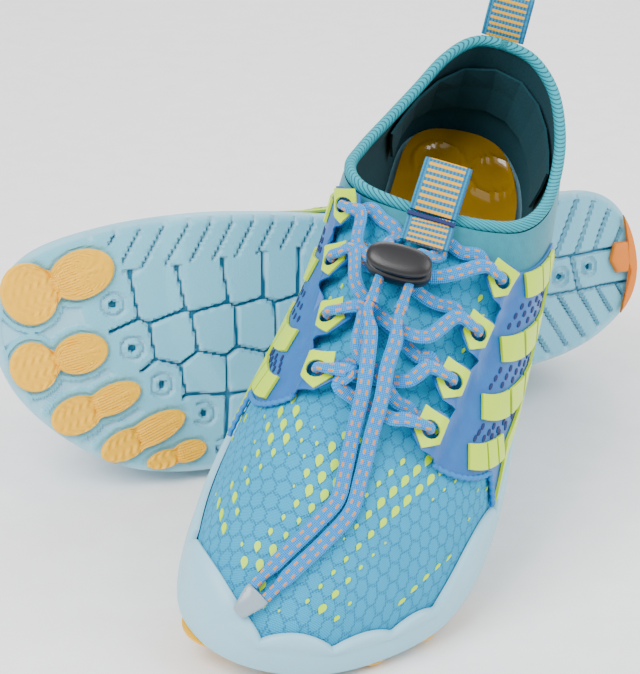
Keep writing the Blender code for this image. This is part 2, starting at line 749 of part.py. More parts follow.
def row_outline(side, number):
    """The outline of a tile row, which starts behind its eyelet tab."""
    start, end = EYELETS[side][number], ROW_ENDS[side][number]
    start = between(start, end, ROW_START / np.linalg.norm(bare_surface(*end) - bare_surface(*start)))
    corners = []
    for place, order in ((end, (-1, 1)), (start, (-1, 1))):
        _, sideways = row_axes(side, number, place)
        corners.append([tuple(walk(place, sideways * ROW_HALF_WIDTH * sign)) for sign in order])
    (end_rear, end_front), (start_rear, start_front) = corners
    return [end_rear, start_rear, start_front, end_front]


def trim(shoe, side):
    """The lime strip along the sole and the four tile rows that climb from it to the eyelets."""
    outline = []
    for number in range(4):
        outline += row_outline(side, number)
    outline.append(TRIM_TIPS[side])
    outline += strip_corners(side, 0.0)
    points, faces = patch(outline, [], lambda u, t: TRIM_OFFSETS[0] + 0 * u, lambda u, t: TRIM_OFFSETS[1] + 0 * u)
    shoe.solid(side + "_trim", points, faces, LIME)


# ---------------------------------------------------------------- lace, lock and webbing


def unit(vector):
    return vector / np.linalg.norm(vector)


def even_points(route):
    """Points along a smooth curve through the route, closer together where it bends."""
    dense = smooth(route, 24, False)
    steps = np.diff(dense, axis=0)
    lengths = np.linalg.norm(steps, axis=1)
    ways = steps / lengths[:, None]
    kept = [0]
    run = bend = 0.0
    for i in range(1, len(steps)):
        run += lengths[i - 1]
        bend += math.acos(min(1.0, ways[i] @ ways[i - 1]))
        if run > LACE_STEP or (bend > LACE_TURN and run > 0.8):
            kept.append(i)
            run = bend = 0.0
    if run < 0.8 and len(kept) > 1:
        kept.pop()
    return dense[kept + [len(dense) - 1]]


def tube(shoe, name, route, radius, finish):
    """A round cord along a smooth curve through the route."""
    even = even_points(route)
    curve = bpy.data.curves.new(shoe.side + "_" + name, "CURVE")
    curve.dimensions = "3D"
    curve.bevel_depth = radius * MM
    curve.bevel_resolution = 2
    curve.use_fill_caps = True
    spline = curve.splines.new("POLY")
    spline.points.add(len(even) - 1)
    for point, place in zip(spline.points, even * (shoe.flip, 1, 1) * MM):
        point.co = (*place, 1.0)
    return shoe.add(name, curve, finish)


def at_eyelet(side, number, along_mm, inward_mm, height):
    """A point over the vamp near an eyelet."""
    return upper(*near_eyelet(side, number, along_mm, inward_mm), height)


def turn(side, number):
    """The lace through an eyelet: in under the tab, up through the hole, and out over the tab."""
    middle = (LACE_UNDER + LACE_OVER) / 2
    bend = (LACE_OVER - LACE_UNDER) / 2
    under, out = (3.0, 6.5) if (side, number) == ("medial", 0) else (-3.0, 3.0)
    spots = (
        (under, 2.6 * bend, LACE_UNDER + 0.2),
        (0.4 * under, 1.1 * bend, LACE_UNDER),
        (0.1 * under, 0.3 * bend, middle - 0.72 * bend),
        (0.0, 0.0, middle),
        (0.1 * out, 0.3 * bend, middle + 0.72 * bend),
        (0.4 * out, 1.1 * bend, LACE_OVER),
        (out, 2.6 * bend, LACE_OVER - 0.6),
    )
    return [at_eyelet(side, number, *spot) for spot in spots]


def lock_axes():
    """The lock's middle and its directions: across the shoe, along to the toe, and up."""
    place = find(*LOCK_SPOT)
    across, up = slopes(*place)
    normal = unit(np.cross(across, up))
    along = unit(np.array([0.0, normal[2], -normal[1]]))
    side = unit(np.cross(along, normal))
    return upper(*place, LOCK_LIFT), side, along, unit(np.cross(side, along))


def in_lock(x, y, z):
    """A point in the lock's own directions, from the middle of its lace channels."""
    middle, side, along, up = lock_axes()
    return middle + side * x + along * y + up * z


# Where the lace crosses the throat between two eyelets: x, y and height over the vamp.
CROSSINGS = {
    "first over": ((14.0, 127.0, 7.0), (6.0, 133.0, 5.1), (-8.0, 138.5, 3.0)),
    "first under": ((12.0, 130.5, 1.9), (6.0, 133.0, 1.9), (-8.0, 131.0, 5.0)),
    "second over": ((-10.0, 151.5, 6.8), (-2.0, 152.5, 5.6)),
    "second under": ((-10.0, 156.5, 2.0), (-2.0, 152.5, 1.9), (10.0, 143.5, 6.5)),
    "third over": ((6.0, 163.0, 6.5), (-1.0, 168.5, 5.6), (-8.0, 173.0, 3.2)),
    "third under": ((7.0, 169.5, 1.9), (-1.0, 168.5, 1.9), (-9.0, 166.5, 5.4)),
    "bar": ((8.0, 175.5, 5.6), (0.0, 178.0, 3.4), (-8.0, 179.5, 5.6)),
}


def crossing(name):
    return [over(*spot) for spot in CROSSINGS[name]]


def lace(shoe):
    """The laced run: from the front of the lock, round all eight eyelets, and back to it."""
    half = LOCK_SIZE[1] / 2
    front = half + STRAIGHT_PAST_LOCK
    medial_end = [in_lock(CHANNEL_X, y, 0) for y in (front, half, 0, -half, -half - 1.5)]
    lateral_end = [in_lock(-CHANNEL_X, y, 0) for y in (-half - 1.5, -half, 0, half, front)]
    route = medial_end + [over(6.6, 124.5, 5.0), over(6.0, 120.5, 2.2), over(8.5, 117.0, 1.9)]
    route += [over(12.5, 114.5, 1.9)]
    route += turn("medial", 0) + crossing("first over")
    route += turn("lateral", 1) + crossing("second over")
    route += turn("medial", 2) + crossing("third over")
    route += turn("lateral", 3) + crossing("bar")[::-1]
    route += turn("medial", 3)[::-1] + crossing("third under")
    route += turn("lateral", 2)[::-1] + crossing("second under")
    route += turn("medial", 1)[::-1] + crossing("first under")
    route += turn("lateral", 0)[::-1] + [over(-13.0, 118.5, 1.9), over(-9.0, 118.0, 1.9)]
    route += [over(-6.5, 120.0, 2.0), over(-7.0, 122.8, 2.9), over(-4.3, 126.6, 6.2)]
    route += lateral_end
    tube(shoe, "lace", route, LACE_RADIUS, CORD)


def tails(shoe):
    """The two free ends of the lace and the clear sleeve that joins them."""
    front = LOCK_SIZE[1] / 2 + STRAIGHT_PAST_LOCK
    routes = []
    for x, left, right in zip((CHANNEL_X, -CHANNEL_X), LEFT_TAILS, RIGHT_TAILS):
        start = [in_lock(x, front + GAP, 0), in_lock(x, front + 3.0, 0)]
        rest = [over(*spot) for spot in left] if shoe.side == "left" else [np.array(spot) for spot in right]
        routes.append(start + rest)
    middle = (routes[0][-1] + routes[1][-1]) / 2
    along = unit(sum(unit(route[-1] - route[-2]) for route in routes))
    for name, route in zip("ab", routes):
        route[-1] = route[-1] - along * ((route[-1] - middle) @ along)
        tube(shoe, "lace_tail_" + name, route, LACE_RADIUS, CORD)
    across = routes[1][-1] - routes[0][-1]
    wide = np.linalg.norm(across) + 2 * LACE_RADIUS
    across = unit(across)
    up = np.cross(across, along)

    def place(x, y, z):
        return middle + across * x + up * y + along * z

    loops = [(GAP, 1.0, 2.9), (1.5, 1.0, 3.1), (SLEEVE_LENGTH - 2.0, 0.62, 2.6), (SLEEVE_LENGTH, 0.5, 1.6)]
    points = [place(x, y, z) for z, share, tall in loops for x, y in oval(wide * share, tall, 12, 2.6)]
    faces = band_faces(len(loops), 12, False) + [tuple(range(12)), tuple(range(47, 35, -1))]
    shoe.solid("lace_end", points, faces, CLEAR, middle)


def prism(outline, low, high, place):
    """An outline in x and y raised from low to high, each point set by `place`; flat ends."""
    count = len(outline)
    points = [place(x, y, z) for z in (low, high) for x, y in outline]
    faces = band_faces(2, count, False)
    faces += [tuple(range(count)), tuple(range(2 * count - 1, count - 1, -1))]
    return points, faces


def oval(long, wide, steps=20, power=2.4):
    angles = 2 * math.pi * np.arange(steps) / steps
    c, s = np.cos(angles), np.sin(angles)
    return np.stack(
        [long / 2 * np.sign(c) * np.abs(c) ** (2 / power), wide / 2 * np.sign(s) * np.abs(s) ** (2 / power)], 1
    )


def circle(radius, steps=12):
    angles = 2 * math.pi * np.arange(steps) / steps
    return np.stack([radius * np.cos(angles), radius * np.sin(angles)], 1)


def cutter(shoe, points, faces):
    piece = shoe.solid("cutter", points, faces, BLACK)
    piece.hide_render = True
    piece.display_type = "WIRE"
    return piece


def cut(piece, tool):
    boolean = piece.modifiers.new("cut", "BOOLEAN")
    boolean.operation = "DIFFERENCE"
    boolean.solver = "EXACT"
    boolean.object = tool


def cord_lock(shoe):
    """An oval body with two lace channels and a well, and a capped plunger that presses into it."""
    long, wide, tall = LOCK_SIZE
    origin = in_lock(0, 0, 0)
    low, high = -CHANNEL_RADIUS - 0.9, -CHANNEL_RADIUS - 0.9 + tall
    body = shoe.solid("lock_body", *prism(oval(long, wide), low, high, in_lock), BLACK, origin)
    for x in (CHANNEL_X, -CHANNEL_X):
        place = lambda a, b, c, x=x: in_lock(x + a, c, b)
        cut(body, cutter(shoe, *prism(circle(CHANNEL_RADIUS, 10), -wide, wide, place)))
    cut(body, cutter(shoe, *prism(circle(WELL_RADIUS), low + 0.8, high + 2, in_lock)))
    under_cap = high + BUTTON_TRAVEL + 0.1
    stem_end = low + 0.8 + BUTTON_TRAVEL + 0.5
    rings = [
        (oval(long - 1.2, wide - 1.2, 20), under_cap + CAP_THICKNESS),
        (oval(long, wide, 20), under_cap + CAP_THICKNESS - 0.9),
        (oval(long, wide, 20), under_cap),
    ]
    stem = [(circle(STEM_RADIUS, 20), under_cap), (circle(STEM_RADIUS, 20), stem_end)]
    loops = [[in_lock(x, y, z) for x, y in outline] for outline, z in rings + stem]
    faces = band_faces(len(loops), 20, False) + [tuple(range(20)), tuple(range(5 * 20 - 1, 4 * 20 - 1, -1))]
    shoe.solid("lock_button", [point for loop in loops for point in loop], faces, BLACK, in_lock(0, 0, under_cap))
    spring(shoe, low + 1.1 + SPRING_WIRE)


def spring(shoe, start):
    """The plunger's coil spring, drawn closed up."""
    turns, steps = 4, 12
    pitch = 0.62
    curve = bpy.data.curves.new(shoe.side + "_lock_spring", "CURVE")
    curve.dimensions = "3D"
    curve.bevel_depth = SPRING_WIRE * MM
    curve.bevel_resolution = 1
    curve.use_fill_caps = True
    spline = curve.splines.new("POLY")
    spline.points.add(turns * steps)
    for k, point in enumerate(spline.points):
        angle = 2 * math.pi * k / steps
        place = in_lock(SPRING_RADIUS * math.cos(angle), SPRING_RADIUS * math.sin(angle), start + pitch * k / steps)
        point.co = (*(place * (shoe.flip, 1, 1) * MM), 1.0)
    shoe.add("lock_spring", curve, STEEL)


def strap(shoe, name, route, across, finish, hinge):
    """A flat strap along a route in millimetres, with `across` as its width direction."""
    route = np.array(route, float)
    across = unit(np.array(across, float))
    steps = np.gradient(route, axis=0)
    points = []
    for place, step in zip(route, steps):
        out = unit(np.cross(across, step))
        for w, h in ((-1, -1), (1, -1), (1, 1), (-1, 1)):
            points.append(place + across * w * WEBBING_WIDTH / 2 + out * h * WEBBING_THICKNESS / 2)
    faces = band_faces(len(route), 4, False)
    last = 4 * (len(route) - 1)
    faces += [(3, 2, 1, 0), (last, last + 1, last + 2, last + 3)]
    shoe.solid(name, points, faces, finish, hinge)


def tongue_webbing(shoe):
    """The flap that covers the lace between the lock and the stitched bar, and the free loop beyond it."""
    x, y = TONGUE_BAR
    bar = over(x, y, 2.6)
    flap = [over(x, y + run, height) for run, height in ((TONGUE_SEWN, 6.2), (8.0, 5.4), (4.5, 4.7), (2.4, 3.6))]
    across = (1, 0, 0.02)
    strap(shoe, "tongue_tab", flap + [bar + unit(flap[-1] - bar) * HINGE_CLEARANCE], across, WEBBING, bar)
    rise = math.radians(TONGUE_RISE)
    away = np.array([0, -math.cos(rise), math.sin(rise)])
    free = [bar + away * d for d in (HINGE_CLEARANCE, 6.5, 13.0, TONGUE_FREE)]
    strap(shoe, "tongue_loop", free, across, WEBBING, bar)


def heel_webbing(shoe):
    """The pull loop at the heel: sewn to the outside of the collar, and free above it."""
    base = upper(0.0, 0.93, 1.9 + WEBBING_THICKNESS / 2)
    sewn = [upper(0.0, t, h + WEBBING_THICKNESS / 2) for t, h in ((0.70, 0.5), (0.78, 0.5), (0.86, 1.0))]
    strap(shoe, "heel_tab", sewn + [base - unit(base - sewn[-1]) * HINGE_CLEARANCE], (1, 0, 0), WEBBING, base)
    rise = math.radians(HEEL_RISE)
    away = np.array([0, -math.cos(rise), math.sin(rise)])
    free = [base + away * d for d in (HINGE_CLEARANCE, 6.0, 11.5, HEEL_FREE)]
    strap(shoe, "heel_loop", free, (1, 0, 0), WEBBING, base)


# ---------------------------------------------------------------- build


def clear_scene():
    for old in list(bpy.data.objects):
        bpy.data.objects.remove(old, do_unlink=True)


def build_shoe(side, place):
    shoe = Shoe(side, place)
    outsole(shoe)
    pads(shoe)
    footbed(shoe)
    heel_counter(shoe)
    vamp(shoe)
    collar(shoe)
    for flank in ("medial", "lateral"):
        cage(shoe, flank)
        trim(shoe, flank)
    tongue_webbing(shoe)
    heel_webbing(shoe)
    lace(shoe)
    tails(shoe)
    cord_lock(shoe)
    return shoe


clear_scene()
build_shoe("left", LEFT_PLACE)
build_shoe("right", RIGHT_PLACE)
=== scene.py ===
"""Looks for a pair of water shoes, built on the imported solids.

Each shoe's own frame (millimetres; origin at the back of the heel on the sole's underside, +X to the
inner side, +Y to the toe, +Z up, the right shoe mirrored) is read back from the two flat tread mounts.
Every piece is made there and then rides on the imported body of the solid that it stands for.
"""

import json
import math

import bmesh
import bpy
import numpy as np
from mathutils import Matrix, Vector

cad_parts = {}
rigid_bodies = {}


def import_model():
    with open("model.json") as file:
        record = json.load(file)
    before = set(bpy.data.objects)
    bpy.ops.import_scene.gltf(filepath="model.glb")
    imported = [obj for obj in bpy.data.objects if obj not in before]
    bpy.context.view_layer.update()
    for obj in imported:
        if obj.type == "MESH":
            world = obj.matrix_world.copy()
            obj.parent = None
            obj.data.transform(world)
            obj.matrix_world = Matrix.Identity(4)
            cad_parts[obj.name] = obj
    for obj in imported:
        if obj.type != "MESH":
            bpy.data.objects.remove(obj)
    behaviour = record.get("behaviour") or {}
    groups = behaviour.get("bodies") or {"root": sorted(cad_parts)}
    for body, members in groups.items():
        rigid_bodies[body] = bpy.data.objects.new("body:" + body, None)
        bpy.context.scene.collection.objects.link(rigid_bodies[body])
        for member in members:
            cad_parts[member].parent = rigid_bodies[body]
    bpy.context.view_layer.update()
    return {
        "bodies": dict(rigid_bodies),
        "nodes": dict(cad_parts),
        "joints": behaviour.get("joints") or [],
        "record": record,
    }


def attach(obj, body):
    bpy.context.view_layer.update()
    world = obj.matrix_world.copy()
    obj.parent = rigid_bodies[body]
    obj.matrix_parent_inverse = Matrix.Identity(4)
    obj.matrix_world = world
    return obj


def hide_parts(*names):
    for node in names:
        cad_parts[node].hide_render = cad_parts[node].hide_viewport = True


MM = 0.001
GAP = 0.3

# Outline of the sole seen from above, heel first, then along the inner side.
SOLE_OUTLINE = (
    (0, 0), (17, 2.6), (27.5, 10.5), (32, 24), (31, 48), (30, 72), (31.5, 97), (36, 122), (41, 150),
    (44, 178), (43.5, 208), (38, 234), (26, 247), (10, 251), (-8, 247), (-24, 236), (-39, 218),
    (-46, 199), (-48.3, 176), (-47.2, 150), (-43.5, 122), (-38.5, 96), (-35, 72), (-32, 49),
    (-29.5, 33), (-24, 18), (-14, 5),
)
# The bound edge of the foot opening, in the same order.
COLLAR_EDGE = (
    (-1, 6, 57), (9, 9, 57), (16.5, 20, 56), (22, 38, 55), (27, 57, 56), (31, 76, 59), (31.5, 92, 64),
    (24, 104, 69), (10, 109, 72), (-4, 110, 73), (-18, 107, 71), (-29, 99, 67), (-34.5, 84, 62),
    (-35, 64, 58), (-32, 42, 56), (-25, 22, 56), (-14, 9.5, 57),
)
AROUND = 240  # points around the shoe in every shell

# Sole
TOE_SPRING = 10.0
SPRING_START = 160.0
SPRING_RUN = 90.0
CUP_FLOOR = 7.0
UPPER_BASE = 9.0
UPPER_INSET = 4.0
PAD_RECESS = 2.0
PAD_THICKNESS = 1.9
WALL_T = 0.11  # how far up the upper the rubber wall reaches, 0 at its foot and 1 at the collar edge
# Places around the shoe where two lobes of the toe bumper meet, with the wall's reach there,
# and how much higher each lobe rises between them.
BUMPER_JOINTS = ((0.413, 0.07), (0.499, 0.05), (0.539, 0.03), (0.574, 0.03), (0.603, 0.035), (0.681, 0.06))
BUMPER_RISES = (0.12, 0.055, 0.04, 0.035, 0.12)

# Upper
UPPER_THICKNESS = 2.2
WALL_BULGE = 1.5
INNER_BULGE = (3.5, 95.0, 42.0)  # height, place and width of the swelling at the inner side
OUTER_BULGE = (5.0, 97.0, 50.0)
# Lower edge of the neoprene collar, as reach up the upper at places around the shoe.
COLLAR_LINE = (
    (0.0, 0.16), (0.12, 0.22), (0.19, 0.62), (0.25, 0.93), (0.33, 0.93), (0.5, 0.93), (0.62, 0.91),
    (0.69, 0.87), (0.75, 0.78), (0.82, 0.62), (0.87, 0.22), (1.0, 0.16),
)
BINDING_RADIUS = 1.9

# Cage, lime trim and eyelets: where each eyelet lies seen from above, from the ankle to the toe,
# and (place around, reach up) of the far end of the tile row that starts behind it.
EYELET_SPOTS = {
    "medial": ((23.7, 109.0), (21.4, 128.2), (16.3, 152.0), (15.1, 171.4)),
    "lateral": ((-25.0, 119.9), (-23.1, 140.6), (-21.0, 159.5), (-19.3, 176.8)),
}
ROW_ENDS = {
    "medial": ((0.190, 0.58), (0.228, 0.40), (0.262, 0.27), (0.318, 0.30)),
    "lateral": ((0.815, 0.62), (0.785, 0.39), (0.760, 0.25), (0.687, 0.29)),
}
STRIP_DROPS = (0.07, 0.075, 0.07, 0.03)
TRIM_TIPS = {"medial": (0.350, 0.16), "lateral": (0.672, 0.13)}
CAGE_OFFSETS = (0.5, 1.0)
TRIM_OFFSETS = (1.4, 1.9)
TAB_LIFT = 4.1  # how far the eyelet tabs stand off the upper, for the lace that runs under them
TAB_HALF_LENGTH = 7.0
TAB_REACH = 5.5
EYELET_RADIUS = 3.1
ROW_HALF_WIDTH = 4.0
ROW_START = 16.0

# Lace: heights are over the vamp
LACE_RADIUS = 1.5
LACE_UNDER = 1.9
LACE_OVER = 8.2

# Cord lock: it stands over the throat, and the two ends of the lace run through it to the toe.
LOCK_SPOT = (2.0, 135.5)
LOCK_LIFT = 9.8
LOCK_SIZE = (20.5, 10.5, 5.5)
CHANNEL_X = 4.7
CHANNEL_RADIUS = 1.85
CAP_THICKNESS = 2.3
BUTTON_TRAVEL = 1.5
LOCK_TRAVEL = 6.0
STRAIGHT_PAST_LOCK = LOCK_TRAVEL + 2.5

# Routes of the lace's two free tails, from the lock to the sleeve that joins their ends. On the
# left shoe they lie on the vamp: x, y and height over it. On the right shoe they fall past the vamp
# to the ground: x, y, z in the shoe's frame.
LEFT_TAILS = (
    ((4.0, 158.0, 9.4), (2.6, 167.0, 9.6), (1.2, 177.0, 8.0), (0.4, 187.0, 4.2), (-0.8, 198.0, 1.9),
     (-1.3, 207.0, 1.9), (2.6, 216.0, 1.9), (8.0, 226.0, 1.9), (13.6, 235.0, 1.9)),
    ((-2.4, 158.0, 9.4), (-2.6, 167.0, 9.4), (-3.8, 177.0, 9.0), (-4.6, 187.0, 5.2), (-5.8, 198.0, 1.9),
     (-6.0, 208.5, 1.9), (-1.8, 218.6, 1.9), (4.2, 229.0, 1.9), (10.0, 238.2, 1.9)),
)
RIGHT_TAILS = (
    ((4.5, 157.0, 70.5), (-4.0, 165.5, 71.5), (-11.5, 171.5, 76.0), (-17.5, 177.0, 82.0),
     (-21.3, 184.0, 87.0), (-22.8, 192.0, 90.0), (-23.3, 199.0, 91.5), (-23.5, 206.0, 92.0)),
    ((-5.0, 156.0, 72.0), (-12.0, 161.0, 76.5), (-18.0, 166.5, 83.0), (-21.3, 174.0, 90.0),
     (-22.6, 182.0, 95.0), (-23.0, 190.0, 97.0), (-23.2, 198.0, 97.6), (-23.3, 206.0, 97.4)),
)
SLEEVE_LENGTH = 9.0

# Webbing: the tongue loop is sewn down from the lock to its stitched bar, and free beyond it.
WEBBING_WIDTH = 15.5
WEBBING_THICKNESS = 1.2
HINGE_CLEARANCE = 1.0  # from where the webbing bends to each of its two halves
TONGUE_BAR = (-1.5, 112.5)
TONGUE_SEWN = 11.5
TONGUE_FREE = 19.0
TONGUE_RISE = 21.0
HEEL_FREE = 17.0
HEEL_RISE = 62.0


# ---------------------------------------------------------------- curves and surfaces


def smooth(points, per_span, closed):
    """Catmull-Rom curve through the points."""
    p = np.array(points, float)
    count = len(p)
    spans = count if closed else count - 1
    out = []
    for i in range(spans):
        if closed:
            a, b, c, d = p[i - 1], p[i], p[(i + 1) % count], p[(i + 2) % count]
        else:
            a, b, c, d = p[max(i - 1, 0)], p[i], p[i + 1], p[min(i + 2, count - 1)]
        for k in range(per_span):
            s = k / per_span
            squared, cubed = 2 * a - 5 * b + 4 * c - d, 3 * b - a - 3 * c + d
            out.append(0.5 * (2 * b + (c - a) * s + squared * s**2 + cubed * s**3))
    if not closed:
        out.append(p[-1])
    return np.array(out)


class Ring:
    """A closed curve read by its share of length, with 0.5 of `at_half` at the toe."""

    def __init__(self, points):
        dense = smooth(points, 40, True)
        self.points = np.vstack([dense, dense[:1]])
        steps = np.linalg.norm(np.diff(self.points, axis=0), axis=1)
        self.run = np.concatenate([[0], np.cumsum(steps)])
        self.toe = self.run[np.argmax(dense[:, 1])] / self.run[-1]

    def at(self, share):
        run = (np.asarray(share, float) % 1) * self.run[-1]
        return np.stack([np.interp(run, self.run, column) for column in self.points.T], -1)

    def at_half(self, share):
        share = np.asarray(share, float) % 1
        inner = share * 2 * self.toe
        outer = self.toe + (share - 0.5) * 2 * (1 - self.toe)
        return self.at(np.where(share <= 0.5, inner, outer))


SOLE = Ring(SOLE_OUTLINE)
EDGE = Ring(COLLAR_EDGE)


def toe_lift(y):
    return TOE_SPRING * (np.clip(np.asarray(y, float) - SPRING_START, 0, None) / SPRING_RUN) ** 2


def outward(u):
    """Unit normal of the sole's outline, pointing out."""
    step = 1e-3
    along = SOLE.at(u + step) - SOLE.at(u - step)
    along /= np.linalg.norm(along, axis=-1, keepdims=True)
    return np.stack([along[..., 1], -along[..., 0]], -1)


def sole_point(u, inset, z):
    """A point inside the outline by `inset`, at height z above the curved underside."""
    flat = SOLE.at(u) - outward(u) * np.asarray(inset, float)[..., None]
    return np.concatenate([flat, (z + toe_lift(flat[..., 1]))[..., None]], -1)


def swelling(bulge, y):
    height, place, width = bulge
    return height * np.exp(-(((y - place) / width) ** 2))


def bare_surface(u, t):
    """The outside of the upper: u runs around the shoe, t from the sole to the collar edge."""
    u, t = np.broadcast_arrays(np.asarray(u, float), np.asarray(t, float))
    outline = SOLE.at(u)
    n = np.concatenate([outward(u), np.zeros(u.shape + (1,))], -1)
    y = outline[..., 1]
    base = np.concatenate([outline, (UPPER_BASE + toe_lift(y))[..., None]], -1) - n * UPPER_INSET
    inner = (u % 1) <= SOLE.toe
    share = np.where(inner, (u % 1) / SOLE.toe, (1 - u % 1) / (1 - SOLE.toe))
    ring = 0.5 * (1 - (1 - share) ** 2.45)
    top = EDGE.at_half(np.where(inner, ring, 1 - ring))
    reach = (base - top) * (1, 1, 0)
    rise = (top - base) * (0, 0, 1)
    bulge = np.where(inner, 1 + swelling(INNER_BULGE, y), WALL_BULGE + swelling(OUTER_BULGE, y))[..., None]
    low = base - 0.05 * reach + 0.45 * rise + n * (WALL_BULGE + bulge)
    high = top + 0.37 * reach - 0.30 * rise + n * (WALL_BULGE + 0.8 * bulge)
    t = t[..., None]
    return (1 - t) ** 3 * base + 3 * (1 - t) ** 2 * t * low + 3 * (1 - t) * t**2 * high + t**3 * top


def slopes(u, t):
    step = 1e-3
    across = (bare_surface(u + step, t) - bare_surface(u - step, t)) / (2 * step)
    up = (bare_surface(u, t + step) - bare_surface(u, t - step)) / (2 * step)
    return across, up


def upper(u, t, offset=0.0):
    """A point on the upper, moved out along its normal by `offset`."""
    across, up = slopes(u, t)
    normal = np.cross(across, up)
    normal /= np.linalg.norm(normal, axis=-1, keepdims=True)
    return bare_surface(u, t) + normal * np.asarray(offset, float)[..., None]


def ring_places(count):
    """Places around the shoe, heel first, the toe half way, so that point j faces point count - j."""
    half = count // 2
    inner = SOLE.toe * np.arange(half) / half
    outer = SOLE.toe + (1 - SOLE.toe) * np.arange(half) / half
    return np.concatenate([inner, outer])


PLACES = ring_places(AROUND)


def wall_reach(u):
    """How far up the upper the rubber reaches, with a lobe in front of each toe."""
    u = np.asarray(u, float) % 1
    joints = np.array(BUMPER_JOINTS)
    low = np.interp(u, joints[:, 0], joints[:, 1])
    reach = np.where((u < joints[0, 0]) | (u > joints[-1, 0]), WALL_T, low)
    for (start, _), (end, _), rise in zip(BUMPER_JOINTS, BUMPER_JOINTS[1:], BUMPER_RISES):
        share = np.clip((u - start) / (end - start), 0, 1)
        reach = reach + rise * np.sin(math.pi * share) ** 0.7
    return reach


def collar_line(u):
    line = np.array(COLLAR_LINE)
    return np.interp(np.asarray(u, float) % 1, line[:, 0], line[:, 1])


def find(x, y):
    """The place (u, t) on top of the vamp that lies at x, y."""
    grid_u, grid_t = np.meshgrid(np.linspace(0.2, 0.8, 61), np.linspace(0.1, 1.0, 31), indexing="ij")
    grid = bare_surface(grid_u, grid_t)
    nearest = np.argmin(np.hypot(grid[..., 0] - x, grid[..., 1] - y))
    place = np.array([grid_u.flat[nearest], grid_t.flat[nearest]])
    for _ in range(8):
        miss = np.array([x, y]) - bare_surface(*place)[:2]
        across, up = slopes(*place)
        place = place + 0.8 * np.linalg.lstsq(np.stack([across[:2], up[:2]], 1), miss, rcond=None)[0]
        place[1] = min(place[1], 1.0)
    return place


def over(x, y, offset):
    """A point above the vamp at x, y."""
    return upper(*find(x, y), offset)


EYELETS = {side: [tuple(find(*spot)) for spot in spots] for side, spots in EYELET_SPOTS.items()}


def walk(place, move):
    """The place (u, t) reached from another by a short move in space."""
    across, up = slopes(*place)
    return np.array(place) + np.linalg.lstsq(np.stack([across, up], 1), np.array(move, float), rcond=None)[0]


# ---------------------------------------------------------------- mesh making


def band_faces(loops, count, closed_section):
    """Quads between neighbouring loops of `count` points each."""
    faces = []
    last = loops if closed_section else loops - 1
    for i in range(last):
        a, b = i * count, (i + 1) % loops * count
        for j in range(count):
            k = (j + 1) % count
            faces.append((a + j, a + k, b + k, b + j))
    return faces


def end_faces(total, count):
    """The two many-sided faces that close the first and the last loop of `count` points."""
    return [tuple(range(count)), tuple(range(total - 1, total - count - 1, -1))]


def stud(spots, lifts):
    """A thin plate on the upper: an outline of (u, t) places at two heights."""
    points = [upper(*spot, lift) for lift in lifts for spot in spots]
    return points, band_faces(2, len(spots), False) + end_faces(len(points), len(spots))


def gather(parts):
    """One mesh from several, each given as points and faces."""
    points, faces = [], []
    for more_points, more_faces in parts:
        first = len(points)
        points.extend(more_points)
        faces.extend(tuple(i + first for i in face) for face in more_faces)
    return points, faces


def patch(outline, holes, low, high):
    """A piece of shell over the upper, cut to an outline in (u, t), between two offset functions."""
    stretch = np.array([620.0, 75.0])
    bm = bmesh.new()
    for loop in [outline] + holes:
        corners = [bm.verts.new((*(np.array(corner) * stretch), 0.0)) for corner in loop]
        for a, b in zip(corners, corners[1:] + corners[:1]):
            bm.edges.new((a, b))
    bmesh.ops.triangle_fill(bm, use_beauty=True, edges=bm.edges[:])
    spans = np.array([v.co[:2] for v in bm.verts])
    for axis, step in ((0, 5.0), (1, 3.5)):
        for k in range(int(spans[:, axis].min() // step) + 1, int(spans[:, axis].max() // step) + 1):
            normal = Vector((1, 0, 0)) if axis == 0 else Vector((0, 1, 0))
            bmesh.ops.bisect_plane(
                bm,
                geom=bm.verts[:] + bm.edges[:] + bm.faces[:],
                dist=1e-4,
                plane_co=normal * k * step,
                plane_no=normal,
            )
    bmesh.ops.dissolve_degenerate(bm, dist=0.02, edges=bm.edges[:])
    bmesh.ops.triangulate(bm, faces=bm.faces[:])
    bm.verts.index_update()
    places = np.array([v.co[:2] for v in bm.verts]) / stretch
    u, t = places.T
    points = np.vstack([upper(u, t, low(u, t)), upper(u, t, high(u, t))])
    count = len(places)
    faces = []
    for face in bm.faces:
        a, b, c = [v.index for v in face.verts]
        faces += [(a, b, c), (a + count, c + count, b + count)]
    for edge in bm.edges:
        if edge.is_boundary:
            a, b = [v.index for v in edge.verts]
            loop = edge.link_loops[0]
            if loop.vert.index != a:
                a, b = b, a
            faces.append((b, a, a + count, b + count))
    bm.free()
    return points, faces


# Each toe pad is two ovals that run together: centre, half length and half width of the front one,
# then of the rear one.
TOE_PADS = (
    ((23.5, 237.5), 9.5, 11.0, (28.0, 219.0), 11.5, 8.5),
    ((-2.0, 239.0), 8.0, 8.8, (0.5, 222.5), 9.5, 7.0),
    ((-21.0, 226.5), 9.0, 6.6, (-17.0, 213.0), 10.0, 5.2),
    ((-34.0, 211.0), 9.0, 5.2, (-30.0, 199.5), 11.5, 5.0),
    ((-41.3, 197.5), 6.5, 3.2, (-39.8, 188.5), 6.5, 3.8),
)


